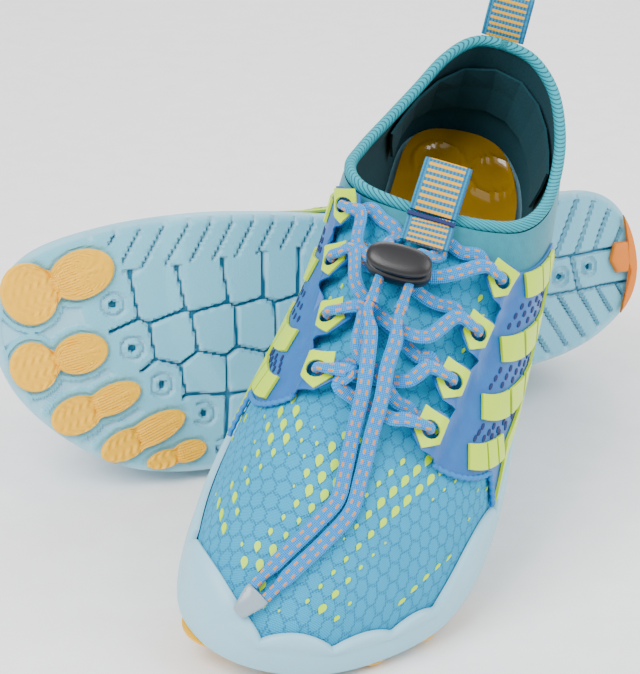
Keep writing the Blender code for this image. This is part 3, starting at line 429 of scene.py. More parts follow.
def two_ovals(front, front_long, front_wide, rear, rear_long, rear_wide, steps=9):
    """The outline around two overlapping ovals with a waist between them."""
    front, rear = np.array(front), np.array(rear)
    along = front - rear
    length = np.linalg.norm(along)
    along /= length
    side = np.array([-along[1], along[0]])
    eased = 1 - np.cos(math.pi * (np.arange(steps) + 0.5) / steps)
    run = (length + front_long + rear_long) * eased / 2 - rear_long
    half = np.maximum(
        rear_wide * np.sqrt(np.clip(1 - (run / rear_long) ** 2, 0, 1)),
        front_wide * np.sqrt(np.clip(1 - ((run - length) / front_long) ** 2, 0, 1)),
    )
    half = np.maximum(half, 0.8)
    one = rear + run[:, None] * along + half[:, None] * side
    other = rear + run[:, None] * along - half[:, None] * side
    return np.vstack([one, other[::-1]])


def tab_axes(side, number):
    """At an eyelet: unit directions along the row of eyelets (to the toe) and in to the throat."""
    place = EYELETS[side][number]
    here = bare_surface(*place)
    others = EYELETS[side]
    near = bare_surface(*others[max(number - 1, 0)])
    far = bare_surface(*others[min(number + 1, 3)])
    across, up = slopes(*place)
    normal = np.cross(across, up)
    normal /= np.linalg.norm(normal)
    along = far - near
    along -= normal * (along @ normal)
    along /= np.linalg.norm(along)
    inward = np.cross(normal, along)
    if inward @ (np.array([-2.0, here[1], here[2]]) - here) < 0:
        inward = -inward
    return along, inward


def near_eyelet(side, number, along_mm, inward_mm):
    """The place (u, t) that lies so many millimetres from an eyelet."""
    along, inward = tab_axes(side, number)
    return tuple(walk(EYELETS[side][number], along * along_mm + inward * inward_mm))


def ramp(x):
    x = np.clip(x, 0, 1)
    return x * x * (3 - 2 * x)


def tab_height(side):
    """How far the cage stands off the upper, as a function of (u, t): it rises towards each tab."""
    frames = []
    for number in range(4):
        place = EYELETS[side][number]
        across, up = slopes(*place)
        along, inward = tab_axes(side, number)
        frames.append((np.array(place), across, up, along, inward))

    def height(u, t):
        best = np.zeros(np.shape(u))
        for place, across, up, along, inward in frames:
            move = (u - place[0])[:, None] * across + (t - place[1])[:, None] * up
            rise = ramp((move @ inward + 8.5) / 6.0) * ramp((12.5 - np.abs(move @ along)) / 5.0)
            best = np.maximum(best, rise)
        return TAB_LIFT * best

    return height


def tab_corners(side, number):
    """The six corners of an eyelet tab that stand out to the throat, from the ankle to the toe."""
    half, reach = TAB_HALF_LENGTH, TAB_REACH
    tip = 0.45 * half
    spots = ((-half, -5.0), (-half, 0.0), (-tip, reach), (tip, reach), (half, 0.0), (half, -5.0))
    return [near_eyelet(side, number, *spot) for spot in spots]


def hole(side, number, radius, sides=6):
    angles = [2 * math.pi * k / sides for k in range(sides)]
    return [near_eyelet(side, number, radius * math.cos(a), radius * math.sin(a)) for a in angles]


def between(a, b, share):
    return tuple(np.array(a) + (np.array(b) - np.array(a)) * share)


def strip_corners(side, wider):
    """The lower edge of the lime strip, from the toe end to the ankle end."""
    outward_sign = 1 if side == "lateral" else -1
    corners = []
    for end, drop in zip(reversed(ROW_ENDS[side]), STRIP_DROPS):
        corners.append((end[0] + (0.011 + 0.15 * wider) * outward_sign, end[1] - drop - wider))
    return corners


def row_axes(side, number, place):
    """At a place on a tile row: unit directions down the row, and sideways to the toe."""
    across, up = slopes(*place)
    run = np.array(ROW_ENDS[side][number]) - EYELETS[side][number]
    down = across * run[0] + up * run[1]
    down /= np.linalg.norm(down)
    sideways = np.cross(np.cross(across, up), down)
    sideways /= np.linalg.norm(sideways)
    return down, sideways if sideways @ tab_axes(side, number)[0] > 0 else -sideways


def row_outline(side, number):
    """The outline of a tile row, which starts behind its eyelet tab."""
    start, end = EYELETS[side][number], ROW_ENDS[side][number]
    start = between(start, end, ROW_START / np.linalg.norm(bare_surface(*end) - bare_surface(*start)))
    corners = []
    for place, order in ((end, (-1, 1)), (start, (-1, 1))):
        _, sideways = row_axes(side, number, place)
        corners.append([tuple(walk(place, sideways * ROW_HALF_WIDTH * sign)) for sign in order])
    (end_rear, end_front), (start_rear, start_front) = corners
    return [end_rear, start_rear, start_front, end_front]


def unit(vector):
    return vector / np.linalg.norm(vector)


def at_eyelet(side, number, along_mm, inward_mm, height):
    """A point over the vamp near an eyelet."""
    return upper(*near_eyelet(side, number, along_mm, inward_mm), height)


def turn(side, number):
    """The lace through an eyelet: in under the tab, up through the hole, and out over the tab."""
    middle = (LACE_UNDER + LACE_OVER) / 2
    bend = (LACE_OVER - LACE_UNDER) / 2
    under, out = (3.0, 6.5) if (side, number) == ("medial", 0) else (-3.0, 3.0)
    spots = (
        (under, 2.6 * bend, LACE_UNDER + 0.2),
        (0.4 * under, 1.1 * bend, LACE_UNDER),
        (0.1 * under, 0.3 * bend, middle - 0.72 * bend),
        (0.0, 0.0, middle),
        (0.1 * out, 0.3 * bend, middle + 0.72 * bend),
        (0.4 * out, 1.1 * bend, LACE_OVER),
        (out, 2.6 * bend, LACE_OVER - 0.6),
    )
    return [at_eyelet(side, number, *spot) for spot in spots]


def lock_axes():
    """The lock's middle and its directions: across the shoe, along to the toe, and up."""
    place = find(*LOCK_SPOT)
    across, up = slopes(*place)
    normal = unit(np.cross(across, up))
    along = unit(np.array([0.0, normal[2], -normal[1]]))
    side = unit(np.cross(along, normal))
    return upper(*place, LOCK_LIFT), side, along, unit(np.cross(side, along))


def in_lock(x, y, z):
    """A point in the lock's own directions, from the middle of its lace channels."""
    middle, side, along, up = lock_axes()
    return middle + side * x + along * y + up * z


# Where the lace crosses the throat between two eyelets: x, y and height over the vamp.
CROSSINGS = {
    "first over": ((14.0, 127.0, 7.0), (6.0, 133.0, 5.1), (-8.0, 138.5, 3.0)),
    "first under": ((12.0, 130.5, 1.9), (6.0, 133.0, 1.9), (-8.0, 131.0, 5.0)),
    "second over": ((-10.0, 151.5, 6.8), (-2.0, 152.5, 5.6)),
    "second under": ((-10.0, 156.5, 2.0), (-2.0, 152.5, 1.9), (10.0, 143.5, 6.5)),
    "third over": ((6.0, 163.0, 6.5), (-1.0, 168.5, 5.6), (-8.0, 173.0, 3.2)),
    "third under": ((7.0, 169.5, 1.9), (-1.0, 168.5, 1.9), (-9.0, 166.5, 5.4)),
    "bar": ((8.0, 175.5, 5.6), (0.0, 178.0, 3.4), (-8.0, 179.5, 5.6)),
}


def crossing(name):
    return [over(*spot) for spot in CROSSINGS[name]]


def squared_circle(angles, power):
    """A circle that is pressed towards a square, as x and y from -1 to 1."""
    c, s = np.cos(angles), np.sin(angles)
    return np.sign(c) * np.abs(c) ** (2 / power), np.sign(s) * np.abs(s) ** (2 / power)


def oval(long, wide, steps=20, power=2.4):
    x, y = squared_circle(2 * math.pi * np.arange(steps) / steps, power)
    return np.stack([long / 2 * x, wide / 2 * y], 1)


# ---------------------------------------------------------------- paint


DEEPEN = 0.75
SATURATE = 1.6


def srgb(red, green, blue):
    """A colour as the eye sees it, 0 to 255, in the shader's linear values, deepened for the soft light."""
    linear = [(value / 255) ** 2.2 for value in (red, green, blue)]
    grey = sum(linear) / 3
    return tuple(max(0.0, DEEPEN * (grey + SATURATE * (value - grey))) for value in linear) + (1.0,)


class Paint:
    """A material's node tree, written as arithmetic on sockets and numbers."""

    def __init__(self, name, roughness=0.6, coat=0.0, sheen=0.0, transmission=0.0):
        self.material = bpy.data.materials.new(name)
        self.material.use_nodes = True
        self.nodes = self.material.node_tree.nodes
        self.links = self.material.node_tree.links
        self.shader = self.nodes["Principled BSDF"]
        self.shader.inputs["Roughness"].default_value = roughness
        self.shader.inputs["Coat Weight"].default_value = coat
        self.shader.inputs["Sheen Weight"].default_value = sheen
        self.shader.inputs["Transmission Weight"].default_value = transmission

    def put(self, socket, value):
        if isinstance(value, bpy.types.NodeSocket):
            self.links.new(value, socket)
        else:
            socket.default_value = value

    def math(self, operation, a, b=0.0, clamp=False):
        node = self.nodes.new("ShaderNodeMath")
        node.operation = operation
        node.use_clamp = clamp
        self.put(node.inputs[0], a)
        self.put(node.inputs[1], b)
        return node.outputs[0]

    def add(self, a, b):
        return self.math("ADD", a, b)

    def times(self, a, b):
        return self.math("MULTIPLY", a, b)

    def wave(self, value, length):
        """A sine of the value with that wave length, from -1 to 1."""
        return self.math("SINE", self.times(value, 2 * math.pi / length))

    def lattice(self, x, y, length):
        """Two crossing sets of slanting waves."""
        rising = self.wave(self.add(x, y), length)
        return self.times(rising, self.wave(self.add(x, self.times(y, -1.0)), length))

    def above(self, value, edge, softness):
        """0 below the edge and 1 above it, over a soft step."""
        return self.math("DIVIDE", self.math("SUBTRACT", value, edge - softness / 2), softness, clamp=True)

    def weave(self):
        """The three values in millimetres that a mesh carries for its material."""
        attribute = self.nodes.new("ShaderNodeAttribute")
        attribute.attribute_name = "weave"
        split = self.nodes.new("ShaderNodeSeparateXYZ")
        self.put(split.inputs[0], attribute.outputs["Vector"])
        return split.outputs

    def noise(self, size_mm, detail=2.0):
        place = self.nodes.new("ShaderNodeTexCoord")
        node = self.nodes.new("ShaderNodeTexNoise")
        self.put(node.inputs["Vector"], place.outputs["Object"])
        node.inputs["Scale"].default_value = 1000.0 / size_mm
        node.inputs["Detail"].default_value = detail
        return node.outputs["Fac"]

    def mix(self, share, a, b):
        node = self.nodes.new("ShaderNodeMix")
        node.data_type = "RGBA"
        self.put(node.inputs[0], share)
        self.put(node.inputs[6], a)
        self.put(node.inputs[7], b)
        return node.outputs[2]

    def finish(self, colour, height=None, depth_mm=0.1, tint=0.12):
        """Sets the colour, varied a little from place to place, and the bump."""
        shade = self.nodes.new("ShaderNodeHueSaturation")
        self.put(shade.inputs["Color"], colour)
        self.put(shade.inputs["Value"], self.add(1.0 - tint / 2, self.times(self.noise(14.0, 3.0), tint)))
        self.put(self.shader.inputs["Base Color"], shade.outputs[0])
        if height is not None:
            bump = self.nodes.new("ShaderNodeBump")
            bump.inputs["Distance"].default_value = depth_mm * MM
            self.put(bump.inputs["Height"], height)
            self.put(self.shader.inputs["Normal"], bump.outputs[0])
        return self.material


def hexagon_edge(paint, x, y, size):
    """How near a place is to the outline of its hexagon cell: 0 on the outline, 0.5 in the middle."""
    x, y = paint.times(x, 1 / size), paint.times(y, 1 / (size * math.sqrt(3)))
    distances = []
    for shift in (0.0, 0.5):
        a = paint.math("ABSOLUTE", paint.math("SUBTRACT", paint.math("FRACT", paint.add(x, 50 + shift)), 0.5))
        b = paint.math("ABSOLUTE", paint.math("SUBTRACT", paint.math("FRACT", paint.add(y, 50 + shift)), 0.5))
        b = paint.times(b, math.sqrt(3))
        slanted = paint.add(paint.times(a, 0.5), paint.times(b, math.sqrt(3) / 2))
        distances.append(paint.math("SUBTRACT", 0.5, paint.math("MAXIMUM", a, slanted)))
    return paint.math("MAXIMUM", *distances)


def grainy(name, colour, roughness, size_mm=0.7, depth_mm=0.08, **more):
    paint = Paint(name, roughness, **more)
    return paint.finish(colour, paint.noise(size_mm), depth_mm)


def rubber_paint():
    """Pale rubber: grainy on the lugs, smooth and a little lighter in the channels, with painted shade
    darkening the deep slits.
    """
    paint = Paint("pale_rubber", 0.45)
    depth = paint.weave()[2]
    channel = paint.above(depth, 0.6, 0.5)
    slit = paint.above(depth, 1.65, 0.5)
    colour = paint.mix(channel, srgb(158, 205, 222), srgb(182, 218, 232))
    # painted shade: the deep slits are coloured dark for the shade that falls in them
    colour = paint.mix(slit, colour, srgb(70, 118, 142))
    grain = paint.times(paint.noise(0.55), paint.math("SUBTRACT", 1.0, paint.times(channel, 0.8)))
    return paint.finish(colour, grain, 0.14, 0.08)


def knit_paint():
    """Blue knit with hexagon cells outlined by small holes, darkened with painted shade, over a fine rib."""
    paint = Paint("hexagon_knit", 0.9)
    x, y, _ = paint.weave()
    line = paint.above(paint.times(hexagon_edge(paint, x, y, 5.0), -1.0), -0.085, 0.04)
    dots = paint.times(paint.wave(x, 1.25), paint.wave(y, 1.25))
    holes = paint.times(line, paint.above(dots, 0.05, 0.3))
    rib = paint.lattice(x, y, 0.9)
    colour = paint.mix(paint.above(rib, 0.0, 1.6), srgb(0, 142, 186), srgb(22, 184, 212))
    # the hexagon holes are the knit's own pattern; their darker colour is painted shade seen through them
    colour = paint.mix(paint.times(holes, 0.45), colour, srgb(0, 84, 132))
    height = paint.add(paint.times(rib, 0.3), paint.times(holes, -1.0))
    return paint.finish(colour, height, 0.25)


def neoprene_paint():
    paint = Paint("neoprene", 0.75, sheen=0.2)
    colour = paint.mix(paint.noise(3.0, 4.0), srgb(0, 112, 128), srgb(0, 140, 152))
    return paint.finish(colour, paint.noise(0.6), 0.08)


def binding_paint():
    """Edge tape with a dark overlock stitch across it."""
    paint = Paint("edge_tape", 0.8)
    run, across, _ = paint.weave()
    slanted = paint.add(run, paint.times(across, 1.0))
    stitch = paint.above(paint.wave(slanted, 2.2), 0.72, 0.25)
    colour = paint.mix(stitch, srgb(30, 158, 170), srgb(6, 92, 108))
    return paint.finish(colour, paint.add(paint.times(stitch, -1.0), paint.times(paint.noise(0.5), 0.4)), 0.2)


def cage_paint():
    paint = Paint("cage_film", 0.42)
    colour = paint.mix(paint.noise(5.0, 3.0), srgb(0, 98, 152), srgb(4, 118, 172))
    return paint.finish(colour, paint.noise(0.9), 0.05)


def lace_paint():
    """A flat braid: light flecks over blue, with two rows of orange dashes."""
    paint = Paint("braided_lace", 0.8, sheen=0.1)
    run, across, _ = paint.weave()
    braid = paint.lattice(run, across, 1.1)
    colour = paint.mix(paint.above(braid, 0.1, 0.8), srgb(28, 128, 200), srgb(112, 184, 226))
    near_row = paint.math("ABSOLUTE", paint.math("SUBTRACT", paint.math("ABSOLUTE", across), 1.1))
    row = paint.above(paint.times(near_row, -1.0), -0.3, 0.12)
    dash = paint.above(paint.wave(run, 3.2), 0.1, 0.3)
    colour = paint.mix(paint.times(row, dash), colour, srgb(226, 164, 118))
    return paint.finish(colour, braid, 0.14)


def webbing_paint():
    """Ribbed webbing with yellow-orange stripes that stop short of its edges."""
    paint = Paint("ribbed_webbing", 0.8)
    run, across, _ = paint.weave()
    stripe = paint.above(paint.wave(run, 2.2), 0.1, 0.3)
    middle = paint.above(paint.times(paint.math("ABSOLUTE", across), -1.0), -5.9, 0.3)
    rib = paint.wave(across, 1.2)
    colour = paint.mix(paint.above(rib, 0.0, 1.0), srgb(12, 100, 136), srgb(36, 136, 160))
    colour = paint.mix(paint.times(stripe, middle), colour, srgb(226, 178, 62))
    height = paint.add(paint.times(rib, 0.4), paint.times(stripe, 0.6))
    return paint.finish(colour, height, 0.25)


def insole_paint():
    paint = Paint("amber_footbed", 0.16, coat=0.4)
    colour = paint.mix(paint.noise(22.0, 3.0), srgb(112, 88, 14), srgb(168, 138, 34))
    return paint.finish(colour, paint.noise(1.5), 0.05)


def make_finishes():
    return {
        "rubber": rubber_paint(),
        "pad": grainy("yellow_rubber", srgb(246, 196, 62), 0.5, 0.5, 0.06),
        "orange": grainy("orange_rubber", srgb(226, 146, 18), 0.5, 0.5, 0.06),
        "knit": knit_paint(),
        "drop": grainy("lime_print", srgb(196, 232, 84), 0.5, 0.6, 0.05),
        "lime": grainy("lime_film", srgb(200, 228, 44), 0.4, 0.8, 0.05),
        "neoprene": neoprene_paint(),
        "binding": binding_paint(),
        # the lining's own teal, deepened further as painted shade for the inside of the shoe
        "lining": grainy("lining_with_painted_shade", srgb(8, 66, 74), 0.95, 0.8, 0.2),
        "cage": cage_paint(),
        # painted shade: dark ovals standing for the vent openings; the stitch bar's real dark thread uses it
        # too
        "vent": grainy("vent_shade_and_dark_thread", srgb(4, 44, 84), 0.7, 0.6, 0.05),
        "rope": grainy("blue_rope", srgb(20, 128, 180), 0.6, 0.7, 0.1),
        "lace": lace_paint(),
        "webbing": webbing_paint(),
        "insole": insole_paint(),
        "board": grainy("woven_board", srgb(70, 74, 78), 0.9, 1.0, 0.2),
        "lock": grainy("black_plastic", srgb(20, 20, 23), 0.38, 0.4, 0.03),
        "sleeve": grainy("clear_sleeve", srgb(214, 228, 236), 0.15, 1.5, 0.03, transmission=0.5),
        "steel": grainy("spring_wire", srgb(170, 170, 176), 0.3, 0.5, 0.02),
    }


# ---------------------------------------------------------------- pieces in a shoe's frame


# Where the two tread mounts lie on the flat underside.
TREAD_SPOTS = {"heel": (-1.0, 60.0), "ball": (-4.0, 140.0)}


class Shoe:
    """One shoe's frame, and the pieces made in it."""

    def __init__(self, side, frame, finishes):
        self.side = side
        self.flip = 1.0 if side == "left" else -1.0
        self.frame = frame
        self.finishes = finishes
        mounts = {mount["name"]: mount for mount in frame["record"]["mounts"]}
        heel, ball = mounts[side + "_heel_tread"], mounts[side + "_ball_tread"]
        at_heel, at_ball = np.array(heel["pos_m"]), np.array(ball["pos_m"])
        up = -unit(np.array(heel["axis"]))
        spots = np.array([TREAD_SPOTS["heel"], TREAD_SPOTS["ball"]]) * (self.flip, 1)
        a, b = unit(spots[1] - spots[0])
        along = unit(at_ball - at_heel)
        across = np.cross(along, up)
        self.x = a * along + b * across
        self.y = b * along - a * across
        self.z = up
        self.origin = at_heel - (self.x * spots[0][0] + self.y * spots[0][1]) * MM

    def world(self, points):
        points = np.atleast_2d(np.array(points, float)) * (self.flip, 1, 1) * MM
        return self.origin + points @ np.stack([self.x, self.y, self.z])

    def body(self, part="shoe"):
        return self.side + "_" + part

    def piece(self, name, points, faces, finish, slot, stands_for=(), part="shoe", weave=None, lining=None):
        """A closed mesh in millimetres that rides on a body and may stand for solids."""
        mesh = bpy.data.meshes.new(self.body(name))
        mesh.from_pydata(self.world(points).tolist(), [], [tuple(map(int, face)) for face in faces])
        if weave is not None:
            attribute = mesh.attributes.new("weave", "FLOAT_VECTOR", "POINT")
            attribute.data.foreach_set("vector", np.array(weave, np.float32).ravel())
        mesh.materials.append(self.finishes[finish])
        if lining is not None:
            mesh.materials.append(self.finishes["lining"])
            mesh.polygons.foreach_set("material_index", np.array(lining, np.int32))
        bm = bmesh.new()
        bm.from_mesh(mesh)
        bmesh.ops.recalc_face_normals(bm, faces=bm.faces)
        if bm.calc_volume(signed=True) < 0:
            bmesh.ops.reverse_faces(bm, faces=bm.faces)
        bm.to_mesh(mesh)
        bm.free()
        mesh.shade_smooth()
        mesh.set_sharp_from_angle(angle=math.radians(42))
        piece = bpy.data.objects.new(self.body(name), mesh)
        bpy.context.scene.collection.objects.link(piece)
        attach(piece, self.body(part))
        if stands_for:
            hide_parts(*[self.body(node) for node in stands_for])
        return piece


# ---------------------------------------------------------------- sole


def slit(distance, half_width, depth, softness=0.45):
    """The depth of a groove at a distance from its middle line."""
    return depth * (1 - ramp((np.abs(distance) - half_width) / softness))


LUG_SITES = (
    (17, 193), (18.7, 176), (19.5, 161), (18.5, 147), (16.5, 134),
    (0.5, 189), (1.5, 174), (0.5, 158.5), (-0.5, 144),
    (-14, 179), (-15, 164), (-15.5, 149), (-29, 164), (-31, 149), (-31, 134), (-16, 134), (0, 129),
)
DRAIN_SITES = ((15.8, 209.0), (-0.5, 204.0), (-15.0, 195.0), (-27.5, 181.0))
HEEL_CELLS = ((2.5, 22.0), (0.5, 35.0), (0.5, 48.5), (0.5, 62.0), (1.0, 75.5))
LUG_RADIUS = 10.5
WAIST = (82.0, 124.0)
FIN_PITCH = 8.5
FIN_EDGE = 27.0  # the fins lie to the inner side of this line
RIB_PITCH = 10.5
RIB_EDGE = -38.5  # the outer ribs lie to the outer side of this line
RIPPLE_PITCH = 5.5
HEEL_MIDDLE = 6.8  # half the width of the heel's row of cells
CHEVRON_PITCH = 9.0


def cell_gaps(x, y, sites):
    """Distance to the nearest site, and to the line half way to the next one."""
    away = np.stack([np.hypot(x - a, y - b) for a, b in sites])
    away.sort(axis=0)
    return away[0], (away[1] - away[0]) / 2


def relief(x, y):
    """How deep the tread is cut at a place on the underside."""
    near, gap = cell_gaps(x, y, LUG_SITES + DRAIN_SITES)
    lug = np.maximum(slit(gap, 0.45, 2.1), 1.2 * ramp((near - LUG_RADIUS) / 1.2))
    for a, b in DRAIN_SITES:
        r = np.hypot(x - a, y - b)
        lug = np.maximum(lug, slit(r, 1.2, 2.4))
        lug = np.maximum(lug, slit(r - 3.9, 0.35, 1.3))
    fins = slit((((y + 0.7 * (x - 24)) / FIN_PITCH) % 1 - 0.5) * FIN_PITCH, 0.4, 1.9)
    ribs = slit((((y - 0.55 * (x + 30)) / RIB_PITCH) % 1 - 0.5) * RIB_PITCH, 0.4, 1.9)
    arcs = np.hypot(x + 4, y - 150)
    waist = 0.55 + 0.55 * np.sin(2 * math.pi * arcs / RIPPLE_PITCH)
    _, gap = cell_gaps(x, y, HEEL_CELLS)
    off = np.abs(x - 1)
    chevrons = slit((((y + 0.55 * off) / CHEVRON_PITCH) % 1 - 0.5) * CHEVRON_PITCH, 0.45, 1.9)
    heel = np.where(off < HEEL_MIDDLE, slit(gap, 0.4, 2.0), chevrons)
    heel = np.maximum(heel, slit(off - HEEL_MIDDLE, 0.4, 1.9))
    for a, b in HEEL_CELLS[:2]:
        r = np.hypot(x - a, y - b)
        heel = np.maximum(heel, np.maximum(slit(r, 1.1, 2.4), slit(r - 3.3, 0.35, 1.3)))
    fore = np.where(x > FIN_EDGE, fins, np.where(x < RIB_EDGE, ribs, lug))
    depth = np.where(y > WAIST[1], fore, np.where(y > WAIST[0], waist, heel))
    for ovals in TOE_PADS:
        inside = pad_distance(x, y, ovals)
        depth = np.where(inside < 2.6, np.where(inside < 0.7, 0.6, 0.0), depth)
    return depth


def pad_distance(x, y, ovals):
    """Roughly how far a place lies outside a toe pad's two ovals, negative inside."""
    front, front_long, front_wide, rear, rear_long, rear_wide = ovals
    axis = unit(np.array(front) - np.array(rear))
    best = None
    for middle, long, wide in ((front, front_long, front_wide), (rear, rear_long, rear_wide)):
        a = (x - middle[0]) * axis[0] + (y - middle[1]) * axis[1]
        b = (x - middle[0]) * -axis[1] + (y - middle[1]) * axis[0]
        away = (np.hypot(a / long, b / wide) - 1) * min(long, wide)
        best = away if best is None else np.minimum(best, away)
    return best


def pad_zone(x, y):
    toes = np.clip((y - 182 - 0.5 * np.minimum(x, 0)) / 8, 0, 1)
    heel = np.clip((24 - y) / 8, 0, 1)
    return np.maximum(toes, heel)


# The rubber wall's section: share of its reach up the upper, and distance from the upper.
WALL_PROFILE = (
    (0.12, 2.5), (0.25, 2.2), (0.45, 2.6), (0.65, 2.7), (0.82, 2.4), (0.94, 1.8),
    (1.0, 1.0), (1.0, GAP), (0.5, GAP), (0.0, GAP),
)
SOLE_AROUND = 560
SOLE_COLUMNS = 110


def fine_rows(loop, first, count, columns):
    """Rows of points between facing points of a loop, all at once."""
    half = len(loop) // 2
    left, right = loop[1:half], loop[:half:-1]
    shares = np.arange(1, columns) / columns
    inside = left[:, None] + (right - left)[:, None] * shares[None, :, None]
    index = np.arange(inside.shape[0] * inside.shape[1]).reshape(inside.shape[:2]) + count
    grid = np.column_stack([first + np.arange(1, half), index, first + len(loop) - np.arange(1, half)])
    faces = np.stack([grid[:-1, :-1], grid[:-1, 1:], grid[1:, 1:], grid[1:, :-1]], -1).reshape(-1, 4).tolist()
    start, end = first, first + half
    faces += [(start, grid[0, k], grid[0, k + 1]) for k in range(columns)]
    faces += [(end, grid[-1, k + 1], grid[-1, k]) for k in range(columns)]
    return inside.reshape(-1, 3), faces


def outsole(shoe):
    places = ring_places(SOLE_AROUND)
    one = np.ones(SOLE_AROUND)
    reach = wall_reach(places)
    foot = sole_point(places, 3.2 * one, 0 * one)
    edge = sole_point(places, 1.2 * one, 0.8 * one)
    edge[:, 2] += 0.8 * PAD_RECESS * pad_zone(edge[:, 0], edge[:, 1])
    low = sole_point(places, 0.2 * one, 2.6 * one)
    loops = [foot, edge, low, sole_point(places, 0.1 * one, 4.8 * one), upper(places, 0 * one, 2.7 * one)]
    loops += [upper(places, share * reach, height * one) for share, height in WALL_PROFILE]
    loops.append(sole_point(places, (UPPER_INSET - GAP) * one, CUP_FLOOR * one))
    points = np.vstack(loops)
    faces = band_faces(len(loops), SOLE_AROUND, False)
    tread, more = fine_rows(foot, 0, len(points), SOLE_COLUMNS)
    top, top_faces = fine_rows(loops[-1], (len(loops) - 1) * SOLE_AROUND, len(points) + len(tread), 8)
    top[:, 2] = CUP_FLOOR + toe_lift(top[:, 1])
    points = np.vstack([points, tread, top])
    under = np.zeros(len(points), bool)
    under[:SOLE_AROUND] = True
    under[len(loops) * SOLE_AROUND:len(loops) * SOLE_AROUND + len(tread)] = True
    x, y = points[under, 0], points[under, 1]
    depth = relief(x, y)
    depth[:SOLE_AROUND] = np.minimum(depth[:SOLE_AROUND], 1.0)
    points[under, 2] = PAD_RECESS * pad_zone(x, y) + toe_lift(y) + depth
    weave = points.copy()
    weave[:, 2] = 0.9
    weave[under, 2] = depth
    shoe.piece("sole_rubber", points, faces + more + top_faces, "rubber", "outsole", ["outsole"], weave=weave)


def domed(outline, low, high, height_at, rings=16):
    """A pad with flat sides: rings of points that shrink to its middle on the tread face."""
    outline = np.array(outline, float)
    count = len(outline)
    middle = outline.mean(axis=0)
    loops = [np.column_stack([outline, high + toe_lift(outline[:, 1])])]
    shares = [1.0, 0.96] + list(np.linspace(0.9, 0.04, rings))
    for number, share in enumerate(shares):
        flat = middle + (outline - middle) * share
        edge = (0.9, 0.25)[number] if number < 2 else 0.0
        z = low + edge + toe_lift(flat[:, 1])
        if number >= 2:
            z = z + height_at(flat[:, 0], flat[:, 1])
        loops.append(np.column_stack([flat, z]))
    points = np.vstack(loops)
    return points, band_faces(len(loops), count, False) + end_faces(len(points), count)


def toe_pads(shoe):
    """Yellow pads: wavy grooves on the front oval, small cells on the rear one."""
    top = PAD_RECESS - GAP
    for number, ovals in enumerate(TOE_PADS, 1):
        front, rear = np.array(ovals[0]), np.array(ovals[3])
        axis = unit(front - rear)
        waist = rear + (front - rear) * (ovals[4] / (ovals[4] + ovals[1]))

        def height(x, y, axis=axis, waist=waist):
            along = (x - waist[0]) * axis[0] + (y - waist[1]) * axis[1]
            across = (x - waist[0]) * -axis[1] + (y - waist[1]) * axis[0]
            waves = 0.35 * (1 + np.sin(2 * math.pi * (along + 0.7 * np.sin(across * 1.3)) / 3.0))
            first, second = along + across, along - across
            cells = 0.3 * (1 + np.sin(2 * math.pi * first / 1.9) * np.sin(2 * math.pi * second / 1.9))
            return np.where(along > 0, waves, cells) + 0.8 * np.exp(-((along / 0.8) ** 2))

        outline = two_ovals(*ovals, steps=34)
        points, faces = domed(outline, top - PAD_THICKNESS, top, height, 26)
        shoe.piece("toe_grip_%d" % number, points, faces, "pad", "toe_pads", ["toe_pad_%d" % number])
    rear = [SOLE.at(u) - outward(np.array(u)) * 0.8 for u in np.linspace(0.965, 1.036, 14)]
    nose = [(10.0, 4.0), (10.0, 10.0), (3.7, 12.5), (-1.5, 10.0), (-2.0, 3.5)]
    outline = np.array(rear + nose)
    points, faces = domed(outline, top - PAD_THICKNESS, top, lambda x, y: 0 * x, 4)
    shoe.piece("heel_grip", points, faces, "orange", "heel_insert", ["heel_insert"])


# ---------------------------------------------------------------- upper


def knit_coordinates(points):
    """Millimetres across and along the cloth, which hangs down at both sides of its crest."""
    y = points[:, 1]
    crest = np.interp(y, (60, 110, 160, 200, 225, 250), (62, 73, 62, 47, 38, 22))
    drop = np.clip(crest - points[:, 2], 0, None)
    return np.column_stack([points[:, 0] + np.sign(points[:, 0] + 2) * 0.75 * drop, y, points[:, 2]])


def fine_shell(levels, outer, inner):
    rising = [upper(PLACES, t, np.full(AROUND, outer)) for t in levels]
    falling = [upper(PLACES, t, np.full(AROUND, inner)) for t in reversed(levels)]
    loops = rising + falling
    lining = np.repeat([0] * (len(levels) - 1) + [1] * (len(loops) - len(levels) + 1), AROUND)
    return np.vstack(loops), band_faces(len(loops), AROUND, True), lining


def vamp(shoe):
    reach = wall_reach(PLACES)
    top = np.maximum(collar_line(PLACES), reach + 0.04)
    levels = [0 * reach, reach] + [reach + (top - reach) * k / 40 for k in range(1, 41)]
    points, faces, lining = fine_shell(levels, 0.0, -UPPER_THICKNESS)
    weave = knit_coordinates(points)
    shoe.piece("knit_vamp", points, faces, "knit", "vamp", ["vamp"], weave=weave, lining=lining)


